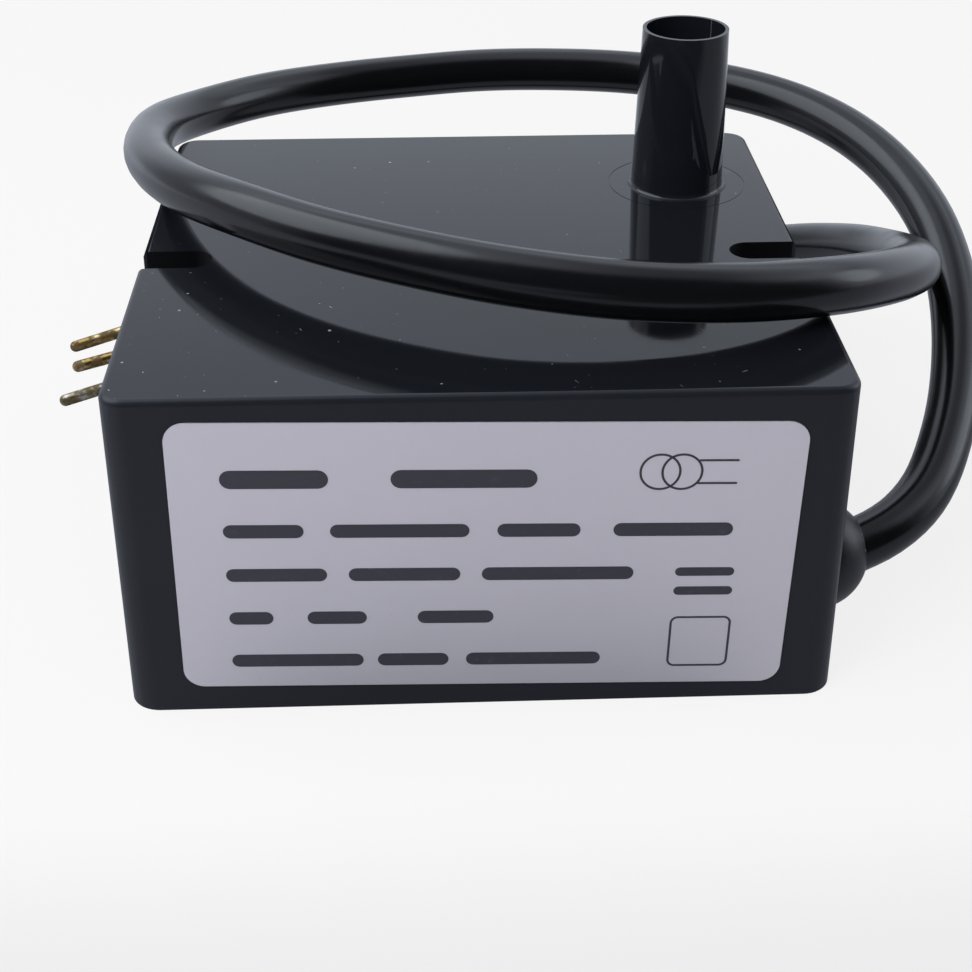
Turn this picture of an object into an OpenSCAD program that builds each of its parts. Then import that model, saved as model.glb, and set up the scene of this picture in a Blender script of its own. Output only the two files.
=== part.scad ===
// Ignition transformer for a burner: a potted plastic case with an outlet tower, two fixing slots,
// three supply pins, a rating plate and a fixed high-voltage lead that ends in an electrode plug.
// Millimetres. The origin is the centre of the case's footprint on the plane that it stands on.
// +Z is up, and the rating plate is on the -Y side.

/* [Case] */
// Width of the case across its top face
case_w = 85; // [83:0.5:95]
// Depth of the case across its top face
case_d = 81.5; // [79:0.5:92]
// Height of the case
case_h = 42.5; // [41:0.5:50]
// Draft of the moulded sides, in degrees
draft = 1; // [0.5:0.25:1.5]
// Thickness of the side walls
wall = 2; // [1.6:0.1:2.4]
// Thickness of the top
top_wall = 2; // [1.6:0.1:2.4]
// Radius of the upright corners at the top face
corner_r = 3; // [2.5:0.25:4]
// Rounding of the top face's outer edge
edge_r = 0.85; // [0.4:0.05:1.2]
// How far the potting stands back from the open base
resin_recess = 1; // [0.4:0.2:1.6]

/* [Fixing slots] */
// Width of each fixing slot
slot_w = 5.2; // [4.4:0.2:6]
// How far each slot reaches in from the case's side
slot_reach = 9.2; // [8:0.2:10]
// Distance of the slots in front of the case's middle
slot_forward = 3.25; // [2:0.25:4]

/* [Outlet tower] */
// Height of the tower over the top face
tower_h = 22; // [18:0.5:26]
// Diameter of the tower at its foot
tower_foot_d = 12.8; // [12.4:0.2:14]
// Diameter of the tower at its rim
tower_rim_d = 11.6; // [11.4:0.1:12]
// Diameter of the tower's bore
tower_bore_d = 10.6; // [9.6:0.1:10.8]
// Depth of the tower's bore from its rim
tower_bore_depth = 30; // [27:0.5:32]
// Distance of the tower's axis from the right side of the top face
tower_from_side = 12.9; // [12:0.1:14]
// Distance of the tower's axis from the rear side of the top face
tower_from_rear = 20.25; // [19:0.25:22]
// Wall round and under the bore inside the case
tower_boss_wall = 2; // [1.6:0.1:2.4]
// Diameter of the fine ring that the mould insert leaves round the tower
insert_ring_d = 19.2; // [17:0.2:21]
// Radius of the rounding at the tower's foot
foot_r = 0.6; // [0.3:0.1:1]

/* [Supply pins] */
// Diameter of each supply pin
pin_d = 1.4; // [1.2:0.1:1.8]
// Depth of the pins' axes below the top face
pin_drop = 5.4; // [5.2:0.1:6]
// Distance of the rear pin in front of the case's middle
rear_pin_forward = 11.85; // [11:0.05:13]
// Distance from the rear pin to the middle pin
pin_pitch = 6.9; // [6:0.1:7.4]
// Distance from the middle pin to the earth pin
earth_pin_pitch = 7.9; // [7:0.1:8.4]
// How far the rear pin stands out of the wall
rear_pin_len = 8.7; // [6:0.1:12]
// How far the middle pin stands out of the wall
middle_pin_len = 7; // [6:0.1:12]
// How far the earth pin stands out of the wall
earth_pin_len = 7.3; // [6:0.1:12]
// How far the rear and earth pins droop, in degrees
pin_droop = 18; // [0:1:20]
// How far the middle pin droops, in degrees
middle_pin_droop = 15.5; // [0:0.5:20]
// Length of each pin's level run inside the wall
pin_run = 4; // [3:0.5:5]

/* [Lead and its outlet] */
// Diameter of the high-voltage lead
lead_d = 7; // [6.6:0.1:7.2]
// Diameter of the lead's conductor
conductor_d = 1.5; // [1:0.1:2.5]
// Diameter of the domed rubber outlet
dome_d = 14.4; // [14:0.1:16]
// Distance of the dome in front of the case's middle
dome_forward = 25.85; // [25:0.05:27]
// Height of the dome's centre over the base
dome_z = 10.3; // [10:0.1:11]
// How far the dome's ball is sunk into the wall
dome_sink = 0.5; // [0:0.1:1]
// Diameter of the outlet's hole in the wall
outlet_hole_d = 9.6; // [9.4:0.1:10]
// Diameter of the lip inside the wall
outlet_lip_d = 12.4; // [11:0.2:14]
// Thickness of the lip inside the wall
outlet_lip_t = 1.2; // [0.8:0.1:2]
// Length of the lead's jacket from its start back into the potting
jacket_inner_len = 14; // [13:0.5:16]
// Length of the bare conductor past the jacket
conductor_bare = 8; // [7:0.5:9]

/* [Electrode plug] */
// Diameter of the plug's head
plug_d = 12; // [11:0.5:12]
// Length of the plug's head
plug_head_len = 18; // [14:0.5:24]
// Diameter of the plug's sleeve
plug_sleeve_d = 9.4; // [8.8:0.2:10]
// Length of the plug's sleeve
plug_sleeve_len = 12; // [8:0.5:16]
// Diameter of the socket's bore
socket_bore_d = 4; // [3.6:0.1:4.4]
// Wall of the socket
socket_wall = 1.2; // [0.8:0.1:1.5]
// Length of the socket
socket_len = 13; // [10:0.5:14]
// How far the socket stands back inside the plug's head
socket_recess = 3; // [1:0.5:4]

/* [Rating plate] */
// Width of the rating plate
plate_w = 72.2; // [60:0.2:74]
// Height of the rating plate
plate_h = 36.2; // [30:0.2:37]
// Corner radius of the rating plate
plate_r = 2.5; // [1:0.25:4]
// Thickness of the rating plate
plate_t = 0.2; // [0.1:0.05:0.4]
// Height of the plate's centre over the base
plate_up = 21.1; // [20:0.1:22]
// How far the plate was stuck on askew, in degrees
plate_turn = 1.07; // [0:0.01:1.5]
// Sideways place of the plate's centre
plate_x = 0.3; // [-1:0.1:1]

/* [Circuit board] */
// Thickness of the circuit board
board_t = 1.6; // [1:0.2:1.6]
// Gap between the case's top and the board
board_gap = 4.3; // [4.2:0.1:5]
// Clearance between the board and the walls
board_clear = 1.2; // [0.8:0.1:1.6]
// How far the board reaches past the primary's axis
board_past_primary = 2; // [1.5:0.25:4]
// Diameter of the components' legs
leg_d = 0.8; // [0.6:0.1:1]
// Gap between the board and the bodies that hang from it
leg_gap = 0.6; // [0.4:0.1:1]
// How far the legs stand out of the board's far side
leg_out = 0.9; // [0.5:0.1:1.5]

/* [Components] */
// Width of the discharge capacitor
discharge_cap_w = 11; // [9:0.5:11]
// Length of the discharge capacitor
discharge_cap_len = 25; // [20:0.5:26]
// Height of the discharge capacitor
discharge_cap_h = 18.5; // [14:0.5:20]
// Width of the suppression capacitor
suppression_cap_w = 8.5; // [7:0.5:9]
// Length of the suppression capacitor
suppression_cap_len = 17.5; // [14:0.5:18]
// Height of the suppression capacitor
suppression_cap_h = 14.5; // [10:0.5:16]
// Diameter of the fuse
fuse_d = 5.2; // [4:0.2:6]
// Length of the fuse
fuse_len = 20; // [16:0.5:21]
// Diameter of the varistor's disc
varistor_d = 10; // [7:0.5:11]
// Thickness of the varistor's disc
varistor_t = 4; // [3:0.5:5]
// Diameter of each rectifier diode
diode_d = 2.7; // [2:0.1:3]
// Length of each rectifier diode
diode_len = 5.2; // [4:0.2:6]
// Width of the thyristor's body
thyristor_w = 10.2; // [9.6:0.1:10.6]
// Thickness of the thyristor's body
thyristor_t = 4.4; // [4:0.1:4.8]
// Height of the thyristor's body
thyristor_h = 9; // [8:0.5:12]
// Width of the heat sink
heat_sink_w = 14; // [11:0.5:14]
// Thickness of the heat sink
heat_sink_t = 1.5; // [1:0.1:2]
// Height of the heat sink
heat_sink_h = 20; // [16:0.5:22]
// Diameter of the charge resistor
charge_resistor_d = 5; // [4:0.2:6]
// Length of the charge resistor
charge_resistor_len = 15; // [12:0.5:16]
// Diameter of each gate resistor
gate_resistor_d = 2.4; // [2:0.1:3]
// Length of each gate resistor
gate_resistor_len = 6.5; // [5:0.5:7]
// Diameter of the diac
diac_d = 2; // [1.6:0.1:2.4]
// Length of the diac
diac_len = 4.2; // [3:0.2:5]
// Diameter of the choke's ferrite rod
choke_rod_d = 4; // [3:0.2:5]
// Length of the choke's ferrite rod
choke_rod_len = 13; // [10:0.5:14]
// Diameter of the choke's winding
choke_wound_d = 7; // [6:0.2:7.6]

/* [Transformer] */
// Diameter of the core's round legs
core_leg_d = 9; // [8:0.5:9.5]
// Thickness of the core's yokes
yoke_t = 9; // [8:0.5:9.5]
// Clearance between the core and the front and rear walls
core_end_clear = 3; // [2:0.25:4]
// Clearance between the right slot's pocket and the secondary's section walls
secondary_slot_clear = 0.2; // [0.1:0.1:1]
// Clearance between the tower's boss and the secondary's flanges
boss_clear = 0.5; // [0.2:0.1:2]
// Depth of the potting under the secondary's flanges
flange_cover = 3; // [2:0.25:4]
// How far the section walls stand back from the secondary's flanges
section_wall_back = 1.4; // [1:0.1:2.4]
// How far the secondary winding stands back from the section walls
secondary_wound_back = 1; // [0.6:0.1:2]
// Number of wound sections in the secondary
secondary_sections = 6; // [4:1:8]
// Outer radius of the primary's flanges
primary_flange_r = 7.2; // [6.8:0.1:7.4]
// Outer radius of the primary winding
primary_wound_r = 6.7; // [6.3:0.1:6.8]
// Length of the primary's bobbin
primary_len = 40; // [34:0.5:44]
// Wall of the bobbins' tubes
bobbin_wall = 1.1; // [0.8:0.1:1.2]
// Thickness of the bobbins' flanges and section walls
flange_t = 1.2; // [0.8:0.1:1.6]
// Running clearance between the core and the bobbins
core_clear = 0.2; // [0.1:0.05:0.3]
// Diameter of the terminal stud under the tower
terminal_d = 2.6; // [2:0.2:3]
// Diameter of the contact disc in the floor of the tower's bore
contact_d = 8; // [6:0.5:9]
// Thickness of the contact disc
contact_t = 1; // [0.6:0.1:1.2]
// Diameter of the posts on the secondary's flanges
post_d = 1.6; // [1.2:0.1:2]
// Width of the strap that earths the core
strap_w = 4; // [3:0.5:5]
// Thickness of the strap that earths the core
strap_t = 0.8; // [0.5:0.1:1]

/* [Hidden] */

$fn = 48;
// A cut reaches past the face that it opens by this much
over = 1;

black = "#1b1c1f";
brass = "#b08d3c";
copper = "#b5652f";
ferrite = "#3a3b3e";

// Levels of the case, the board and the transformer
cavity_top = case_h - top_wall;
board_top = cavity_top - board_gap;
board_under = board_top - board_t;
hang_top = board_under - leg_gap;
inner_half_w = case_w / 2 - wall;
inner_half_d = case_d / 2 - wall;
slot_y = -slot_forward;
slot_x = case_w / 2 - slot_reach + slot_w / 2;

// Half of how much wider the case is at a height than at its top face
function grown(z) = (case_h - z) * tan(draft);

tower_x = case_w / 2 - tower_from_side;
tower_y = case_d / 2 - tower_from_rear;
tower_top = case_h + tower_h;
bore_floor = tower_top - tower_bore_depth;
boss_bottom = bore_floor - tower_boss_wall;

pin_z = case_h - pin_drop;
rear_pin_y = -rear_pin_forward;
middle_pin_y = rear_pin_y - pin_pitch;
earth_pin_y = middle_pin_y - earth_pin_pitch;
pin_wall_x = -(case_w / 2 + grown(pin_z));
// The outer bend stands this far out of the wall's face
pin_bend_out = 0.35;
pin_knuckle = 1.07;
pin_leg_x = pin_wall_x + wall + pin_run;
pin_leg_low = board_under - 1.2;

// The lead's route: points set by hand along its axis, from the outlet to the plug, for a case
// whose right side is route_side from its middle. The whole route keeps to that side.
route_side = 42.5;
route_points = [
    [49.7, -24.8, 11.3], [58.3, -18.3, 13.6], [64, -8.5, 18], [67.7, 2.8, 23], [69.5, 14.8, 28.5],
    [69, 27, 33.3], [66, 39.5, 36.7], [60.5, 51, 39], [52.5, 61, 40.2], [42, 69, 40.6],
    [30, 75, 40.5], [17.5, 78, 40.3], [4.5, 79, 40], [-8.5, 77.5, 39.6], [-21, 73.5, 39.7],
    [-32, 66, 40.5], [-41, 55.5, 41.5], [-45.5, 43, 43.5], [-45.5, 30, 45.3], [-42.5, 17.5, 47],
    [-37, 5.5, 48.7], [-29, -5, 50], [-19, -14, 50.3], [-7.5, -21, 50.2], [4.5, -26, 49.8],
    [17.5, -28.3, 49], [30.5, -27.3, 48], [42.5, -22.3, 46.3], [51.5, -13, 43], [58, -2, 39],
    [61.5, 9.5, 34.7], [62, 22, 30.3], [59.5, 34.5, 26], [54.5, 46.5, 21], [47, 57, 15.5],
    [37.5, 65, 10.5], [26, 70, 7.4], [13.5, 72.3, 6.2], [0.5, 72.5, 6]];
route = [for (p = route_points) p + [case_w / 2 - route_side, 0, 0]];
// The lead leaves its outlet turned to the rear and rising, and enters the plug level
lead_turn = 24;
lead_rise = 8;
exit_way = [cos(lead_rise) * cos(lead_turn), cos(lead_rise) * sin(lead_turn), sin(lead_rise)];
plug_way = [-1, 0, 0];
route_last = len(route) - 1;
rings_per_span = 2;
lead_sides = 10;

dome_y = -dome_forward;
dome_wall_x = case_w / 2 + grown(dome_z);
// The lead's axis crosses the wall here
lead_back = (route[0][0] - dome_wall_x) / exit_way[0];
outlet_y = route[0][1] - lead_back * exit_way[1];
outlet_z = route[0][2] - lead_back * exit_way[2];

// The board spans the left part of the case
board_left = -(inner_half_w - board_clear);
board_front = -(inner_half_d - board_clear);
board_rear = inner_half_d - board_clear;
board_notch_clear = 0.8;

// The transformer's core, seen from above, is a ring round both bobbins
core_leg_r = core_leg_d / 2;
flange_low = resin_recess + flange_cover;
flange_half = (boss_bottom - boss_clear - flange_low) / 2;
secondary_wall_r = flange_half - section_wall_back;
secondary_wound_r = secondary_wall_r - secondary_wound_back;
secondary_x = slot_x - slot_w / 2 - wall - secondary_slot_clear - secondary_wall_r;
winding_gap = 0.7;
leg_pitch = secondary_wall_r + primary_flange_r + winding_gap;
primary_x = secondary_x - leg_pitch;
core_z = flange_low + flange_half;
board_right = primary_x + board_past_primary;
window_half = inner_half_d - core_end_clear - yoke_t;
bobbin_end_clear = 0.8;
bobbin_half = window_half - bobbin_end_clear;
tube_in_r = core_leg_r + core_clear;
tube_out_r = tube_in_r + bobbin_wall;
section_pitch = (2 * bobbin_half - flange_t) / secondary_sections;

// Posts on the secondary's flanges meet the lead's conductor and the tower's terminal
conductor_tip = route[0] - (jacket_inner_len + conductor_bare) * exit_way;
post_front_x = conductor_tip[0] + 0.8;
post_front_z = conductor_tip[2] + 0.1;
post_rear_drop = 3.5;
post_rear_z = boss_bottom - post_rear_drop;
terminal_low = post_rear_z - post_d / 2;
// How far each post bites into its flange
post_bite = 0.6 * flange_t;

// Width, depth and height of the board's square parts
discharge_cap = [discharge_cap_w, discharge_cap_len, discharge_cap_h];
suppression_cap = [suppression_cap_w, suppression_cap_len, suppression_cap_h];
thyristor = [thyristor_w, thyristor_t, thyristor_h];
heat_sink_size = [heat_sink_w, heat_sink_t, heat_sink_h];

// Places of the tall parts that hang from the board, from its edges and the slot inwards
part_gap = 0.5;
charge_resistor_in = 3.4;
charge_resistor_past_slot = 8;
charge_resistor_at = [board_left + charge_resistor_in,
    slot_y + charge_resistor_past_slot + charge_resistor_len / 2];
choke_from_rear = 6;
choke_at = [board_left + choke_wound_d / 2 + part_gap, board_rear - choke_from_rear];
discharge_from_rear = 1;
discharge_at = [choke_at[0] + choke_wound_d / 2 + discharge_cap[0] / 2 + part_gap,
    board_rear - discharge_from_rear - discharge_cap[1] / 2];
suppression_in = 15.5;
suppression_from_front = 1.2;
suppression_at = [board_left + suppression_in, board_front + suppression_from_front + suppression_cap[1] / 2];
fuse_in = 7;
fuse_from_front = 3.2;
fuse_at = [board_left + fuse_in, board_front + fuse_from_front + fuse_len / 2];
varistor_in = 14;
varistor_before_slot = 6;
varistor_at = [board_left + varistor_in, slot_y - varistor_before_slot];
thyristor_in = 14;
thyristor_gap = 1.6;
thyristor_at = [board_left + thyristor_in,
    discharge_at[1] - discharge_cap[1] / 2 - thyristor_gap - thyristor[1] / 2];

// Places of the low parts, which hang over the primary
diodes_past_primary = 6;
diodes_past_slot = 1.2;
diodes_at = [primary_x - diodes_past_primary, slot_y + diodes_past_slot];
diode_pitch = 3.4;
gate_resistors_past_primary = 4;
gate_resistors_past_slot = 11.25;
gate_resistors_at = [primary_x - gate_resistors_past_primary, slot_y + gate_resistors_past_slot];
gate_resistor_pitch = 2.8;
diac_past_primary = 3;
diac_before_slot = 8.75;
diac_at = [primary_x - diac_past_primary, slot_y - diac_before_slot];
wire_d = 1;
wire_half = primary_len / 2 - flange_t / 2;
strap_past_primary = 1.5;
strap_at = [primary_x - strap_past_primary, -(window_half + yoke_t / 2)];
strap_foot = 3;

// Where the legs of the parts go through the board
function pair_y(at, reach) = [[at[0], at[1] - reach], [at[0], at[1] + reach]];
discharge_legs = pair_y(discharge_at, discharge_cap[1] / 2 - 2);
suppression_legs = pair_y(suppression_at, suppression_cap[1] / 2 - 1.5);
fuse_legs = pair_y(fuse_at, fuse_len / 2 + 1.4);
varistor_legs = pair_y(varistor_at, varistor_d / 4);
diode_legs = [for (i = [0:3]) each pair_y([diodes_at[0] + (i - 1.5) * diode_pitch, diodes_at[1]],
    diode_len / 2 + 0.8)];
thyristor_legs = [for (i = [-1:1]) [thyristor_at[0] + i * 2.54, thyristor_at[1]]];
charge_resistor_legs = pair_y(charge_resistor_at, charge_resistor_len / 2 + 1.2);
gate_resistor_legs = [for (i = [0, 1]) each pair_y([gate_resistors_at[0] + i * gate_resistor_pitch,
    gate_resistors_at[1]], gate_resistor_len / 2 + 0.8)];
diac_legs = pair_y(diac_at, diac_len / 2 + 0.8);
choke_legs = [[choke_at[0] - 1.2, choke_at[1] - choke_wound_d / 2 - 0.8],
    [choke_at[0] - 1.2, choke_at[1] + choke_wound_d / 2 + 0.8]];
all_legs = concat(discharge_legs, suppression_legs, fuse_legs, varistor_legs, diode_legs,
    thyristor_legs, charge_resistor_legs, gate_resistor_legs, diac_legs, choke_legs);

// Half outline of a drafted side: half is its half width at the top, round_r rounds the top edge.
// The side's line meets the rounding a little below the level of its centre.
module drafted_half(half, top, low, round_r) {
    meet = 6;
    centre_x = half + round_r * tan(draft) - round_r / cos(draft);
    centre_z = top - round_r;
    polygon([
        [0, low],
        [half + (top - low) * tan(draft), low],
        [centre_x + round_r * cos(meet), centre_z - round_r * sin(meet)],
        [centre_x, top],
        [0, top]]);
    if (round_r > 0) translate([centre_x, centre_z]) circle(round_r);
}

// A bar with a drafted side on each hand and a rounded top edge
module drafted_bar(w, d, top, low, round_r) {
    rotate([90, 0, 0]) linear_extrude(d, center = true) {
        drafted_half(w / 2, top, low, round_r);
        mirror([1, 0]) drafted_half(w / 2, top, low, round_r);
    }
}

// A block with drafted sides, round upright corners and a rounded top edge, as a mould makes it.
// Its corners stand back from the sides by a hair, so that their faces cross cleanly.
module drafted_block(w, d, top, low, upright_r, round_r) {
    hair = 0.01;
    drafted_bar(w, d - 2 * upright_r, top, low, round_r);
    rotate(90) drafted_bar(d, w - 2 * upright_r, top, low, round_r);
    for (x = [-1, 1], y = [-1, 1])
        translate([x * (w / 2 - upright_r), y * (d / 2 - upright_r), 0])
            rotate_extrude() drafted_half(upright_r - hair, top, low, round_r);
}

module case_outside() {
    drafted_block(case_w, case_d, case_h, 0, corner_r, edge_r);
}

module case_cavity(low) {
    shrink = 2 * wall - 2 * top_wall * tan(draft);
    drafted_block(case_w - shrink, case_d - shrink, cavity_top, low, corner_r - wall + 0.4, 0);
}

// A slot's shape seen from above, widened all round by extra
module slot_shape(extra) {
    translate([slot_x, slot_y]) circle(slot_w / 2 + extra);
    translate([slot_x, slot_y - slot_w / 2 - extra]) square([slot_reach + 5, slot_w + 2 * extra]);
}

module both_slots(extra, low, top) {
    for (side = [0, 1]) mirror([side, 0, 0])
        translate([0, 0, low]) linear_extrude(top - low) slot_shape(extra);
}

// The tower's outside, with the small rounding at its foot
module tower_outside() {
    foot = tower_foot_d / 2;
    rotate_extrude() {
        polygon([[0, -over], [foot, -over], [foot, 0], [tower_rim_d / 2, tower_h], [0, tower_h]]);
        difference() {
            translate([0, -over]) square([foot + foot_r, over + foot_r]);
            translate([foot + foot_r, foot_r]) circle(foot_r);
        }
    }
}

// Places children on a pin's axis at the wall's face, with +X into the case
module at_wall(y) {
    translate([pin_wall_x, y, pin_z]) children();
}

// The case: drafted shell, slot pockets, outlet tower with its blind bore, and the side holes
module case() color(black) {
    difference() {
        union() {
            difference() {
                case_outside();
                case_cavity(-over);
            }
            intersection() {
                case_outside();
                both_slots(wall, 0, case_h);
            }
            translate([tower_x, tower_y, case_h]) tower_outside();
            translate([tower_x, tower_y, boss_bottom])
                cylinder(r = tower_bore_d / 2 + tower_boss_wall, h = case_h - over - boss_bottom);
        }
        both_slots(0, -over, case_h + over);
        translate([tower_x, tower_y, bore_floor]) cylinder(d = tower_bore_d, h = tower_bore_depth + over);
        translate([tower_x, tower_y, bore_floor - contact_t]) cylinder(d = contact_d, h = contact_t + over);
        translate([tower_x, tower_y, boss_bottom - over])
            cylinder(d = terminal_d, h = tower_boss_wall + 2 * over);
        translate([tower_x, tower_y, case_h]) insert_ring();
        for (y = [rear_pin_y, middle_pin_y, earth_pin_y])
            at_wall(y) rotate([0, 90, 0]) translate([0, 0, -over]) cylinder(d = pin_d, h = wall + 2 * over);
        on_right_wall(outlet_y, outlet_z) translate([0, 0, -wall - over])
            cylinder(d = outlet_hole_d, h = wall + 2 * over);
    }
}

// The fine groove that a mould insert's edge leaves in the top face
module insert_ring() {
    groove = 0.15;
    depth = 0.05;
    rotate_extrude() translate([insert_ring_d / 2 - groove, -depth]) square([groove, depth + over]);
}

// Everything that the potting runs round, as plain outer shapes
module potted_contents() {
    board_blank();
    components();
    for (pin = [[rear_pin_y, rear_pin_len, pin_droop], [middle_pin_y, middle_pin_len, middle_pin_droop],
            [earth_pin_y, earth_pin_len, pin_droop]])
        supply_pin(pin[0], pin[1], pin[2]);
    core_half(-1);
    core_half(1);
    bobbin_outside(primary_x, primary_len / 2, primary_flange_r, primary_wound_r);
    bobbin_outside(secondary_x, bobbin_half, 0, secondary_wound_r);
    secondary_plates();
    primary_wires();
    secondary_post_front();
    secondary_post_rear();
    hv_terminal();
    along_lead() translate([0, 0, -jacket_inner_len]) cylinder(d = lead_d, h = jacket_inner_len);
    lead_conductor();
    outlet_solid();
    earth_strap();
}

// The potting fills the case from just inside its base to the underside of its top
module potting_resin() color("#2a2a2c") {
    difference() {
        case_cavity(resin_recess);
        both_slots(wall, -over, case_h);
        translate([tower_x, tower_y, boss_bottom])
            cylinder(r = tower_bore_d / 2 + tower_boss_wall, h = case_h);
        potted_contents();
    }
}

// The plate lies on the drafted front wall: local Y runs up the wall and Z out of it
module rating_plate() color("#a9abb8") {
    translate([plate_x, -(case_d / 2 + grown(0)), 0]) rotate([90 - draft, 0, 0])
        translate([0, plate_up / cos(draft), 0]) rotate(-plate_turn)
            linear_extrude(plate_t) round_plate(plate_w, plate_h, plate_r);
}

module round_plate(w, h, r) {
    square([w - 2 * r, h], center = true);
    square([w, h - 2 * r], center = true);
    for (x = [-1, 1], y = [-1, 1])
        translate([x * (w / 2 - r), y * (h / 2 - r)]) circle(r);
}

// A pin: a leg down through the board, a level run through the wall and a drooping end.
// Its two bends are knuckles a little thicker than the wire.
module supply_pin(y, length, droop) {
    bend_x = pin_wall_x - pin_bend_out;
    translate([pin_leg_x, y, pin_leg_low]) cylinder(d = pin_d, h = pin_z - pin_leg_low);
    translate([pin_leg_x, y, pin_z]) rotate([0, -45, 0]) sphere(d = pin_d * pin_knuckle);
    translate([bend_x, y, pin_z]) {
        rotate([0, 90, 0]) cylinder(d = pin_d, h = pin_leg_x - bend_x);
        rotate([0, 90, 0]) sphere(d = pin_d * pin_knuckle);
        rotate([0, -90 - droop, 0]) rotate_extrude() pin_end(length - pin_bend_out);
    }
}

// Half the section of a pin's straight end with its rounded tip
module pin_end(length) {
    r = pin_d / 2;
    square([r, length - r]);
    intersection() {
        translate([0, length - r]) circle(r);
        translate([0, length - 2 * r]) square(2 * r);
    }
}

module supply_pin_rear() color(brass) {
    supply_pin(rear_pin_y, rear_pin_len, pin_droop);
}

module supply_pin_middle() color(brass) {
    supply_pin(middle_pin_y, middle_pin_len, middle_pin_droop);
}

module earth_pin() color(brass) {
    supply_pin(earth_pin_y, earth_pin_len, pin_droop);
}

// Places children at the lead's start, with +Z along the lead as it leaves
module along_lead() {
    translate(route[0]) rotate([0, 90 - lead_rise, lead_turn]) children();
}

// Places children on the right wall's face, with +Z square out of the drafted wall
module on_right_wall(y, z) {
    translate([case_w / 2 + grown(z), y, z]) rotate([0, 90 - draft, 0]) children();
}

// The outlet without its bore: a dome on the wall, a plug through it and a lip inside
module outlet_solid() {
    ball_r = dome_d / 2;
    on_right_wall(dome_y, dome_z) rotate_extrude() intersection() {
        translate([0, -dome_sink]) circle(ball_r);
        square(2 * ball_r);
    }
    on_right_wall(outlet_y, outlet_z) {
        translate([0, 0, -wall - outlet_lip_t])
            cylinder(d = outlet_hole_d, h = wall + outlet_lip_t + over);
        translate([0, 0, -wall - outlet_lip_t]) cylinder(d = outlet_lip_d, h = outlet_lip_t);
    }
}

module lead_outlet() color(black) {
    difference() {
        outlet_solid();
        along_lead() translate([0, 0, -jacket_inner_len - over])
            cylinder(d = lead_d, h = jacket_inner_len + 3 * over);
    }
}

// A smooth curve through the route's points: one span between b and c, at t from 0 to 1
function span_point(a, b, c, d, t) =
    0.5 * ((2 * b) + (c - a) * t + (2 * a - 5 * b + 4 * c - d) * t * t
        + (3 * b - a - 3 * c + d) * t * t * t);
function span_way(a, b, c, d, t) =
    (c - a) + 2 * (2 * a - 5 * b + 4 * c - d) * t + 3 * (3 * b - a - 3 * c + d) * t * t;
function route_at(i) =
    i < 0 ? route[1] - 2 * norm(route[1] - route[0]) * exit_way
    : i > route_last ? route[route_last - 1] + 2 * norm(route[route_last] - route[route_last - 1]) * plug_way
    : route[i];
function unit(v) = v / norm(v);
function ring(centre, way) =
    let (side = unit(cross(way, [0, 0, 1])), up = cross(side, unit(way)))
    [for (k = [0:lead_sides - 1])
        centre + lead_d / 2 * (cos(360 * k / lead_sides) * side + sin(360 * k / lead_sides) * up)];
function lead_ring(n) =
    let (i = min(floor(n / rings_per_span), route_last - 1), t = n / rings_per_span - i,
        a = route_at(i - 1), b = route_at(i), c = route_at(i + 1), d = route_at(i + 2))
    ring(span_point(a, b, c, d, t), span_way(a, b, c, d, t));

// The lead outside the case: one tube swept along the route
module hv_lead() color(black) {
    last = route_last * rings_per_span;
    s = lead_sides;
    polyhedron(
        points = [for (n = [0:last]) each lead_ring(n)],
        faces = concat(
            [[for (k = [0:s - 1]) k]],
            [[for (k = [s - 1:-1:0]) last * s + k]],
            [for (n = [0:last - 1], k = [0:s - 1])
                [n * s + k, (n + 1) * s + k, (n + 1) * s + (k + 1) % s, n * s + (k + 1) % s]]),
        convexity = 10);
}

// The lead's jacket inside the outlet and the potting
module lead_inner_end() color(black) {
    along_lead() translate([0, 0, -jacket_inner_len]) difference() {
        cylinder(d = lead_d, h = jacket_inner_len);
        translate([0, 0, -over]) cylinder(d = conductor_d, h = jacket_inner_len + 2 * over);
    }
}

module lead_conductor() color(copper) {
    along_lead() translate([0, 0, -jacket_inner_len - conductor_bare])
        cylinder(d = conductor_d, h = jacket_inner_len + conductor_bare);
}

// Places children at the lead's far end, with +Z out of the lead
module along_plug() {
    translate(route[route_last]) rotate([0, -90, 0]) children();
}

// The plug's rubber boot: a ribbed sleeve and a round head with the socket's bore
module plug_boot() color(black) {
    head = plug_d / 2;
    sleeve = plug_sleeve_d / 2;
    total = plug_sleeve_len + plug_head_len;
    socket_start = total - socket_recess - socket_len;
    rib_pitch = plug_sleeve_len / 5;
    rib_depth = 0.6;
    along_plug() difference() {
        rotate_extrude() {
            square([sleeve, plug_sleeve_len]);
            polygon([[0, plug_sleeve_len - 1], [sleeve, plug_sleeve_len - 1], [head, plug_sleeve_len + 1],
                [head, total - 1], [head - 1, total], [0, total]]);
        }
        for (i = [1:3]) translate([0, 0, i * rib_pitch]) difference() {
            cylinder(r = sleeve + over, h = rib_pitch / 2);
            translate([0, 0, -over]) cylinder(r = sleeve - rib_depth, h = rib_pitch + over);
        }
        translate([0, 0, socket_start]) cylinder(d = socket_bore_d + 2 * socket_wall, h = plug_head_len);
    }
}

module plug_socket() color(brass) {
    total = plug_sleeve_len + plug_head_len;
    along_plug() translate([0, 0, total - socket_recess - socket_len]) difference() {
        cylinder(d = socket_bore_d + 2 * socket_wall, h = socket_len);
        translate([0, 0, 1]) cylinder(d = socket_bore_d, h = socket_len);
    }
}

// The stud under the tower, with the contact disc that a plugged lead meets, sunk in the bore's floor
module hv_terminal() color(brass) {
    translate([tower_x, tower_y, bore_floor - contact_t]) cylinder(d = contact_d, h = contact_t);
    translate([tower_x, tower_y, terminal_low])
        cylinder(d = terminal_d, h = bore_floor - contact_t / 2 - terminal_low);
}

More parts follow.
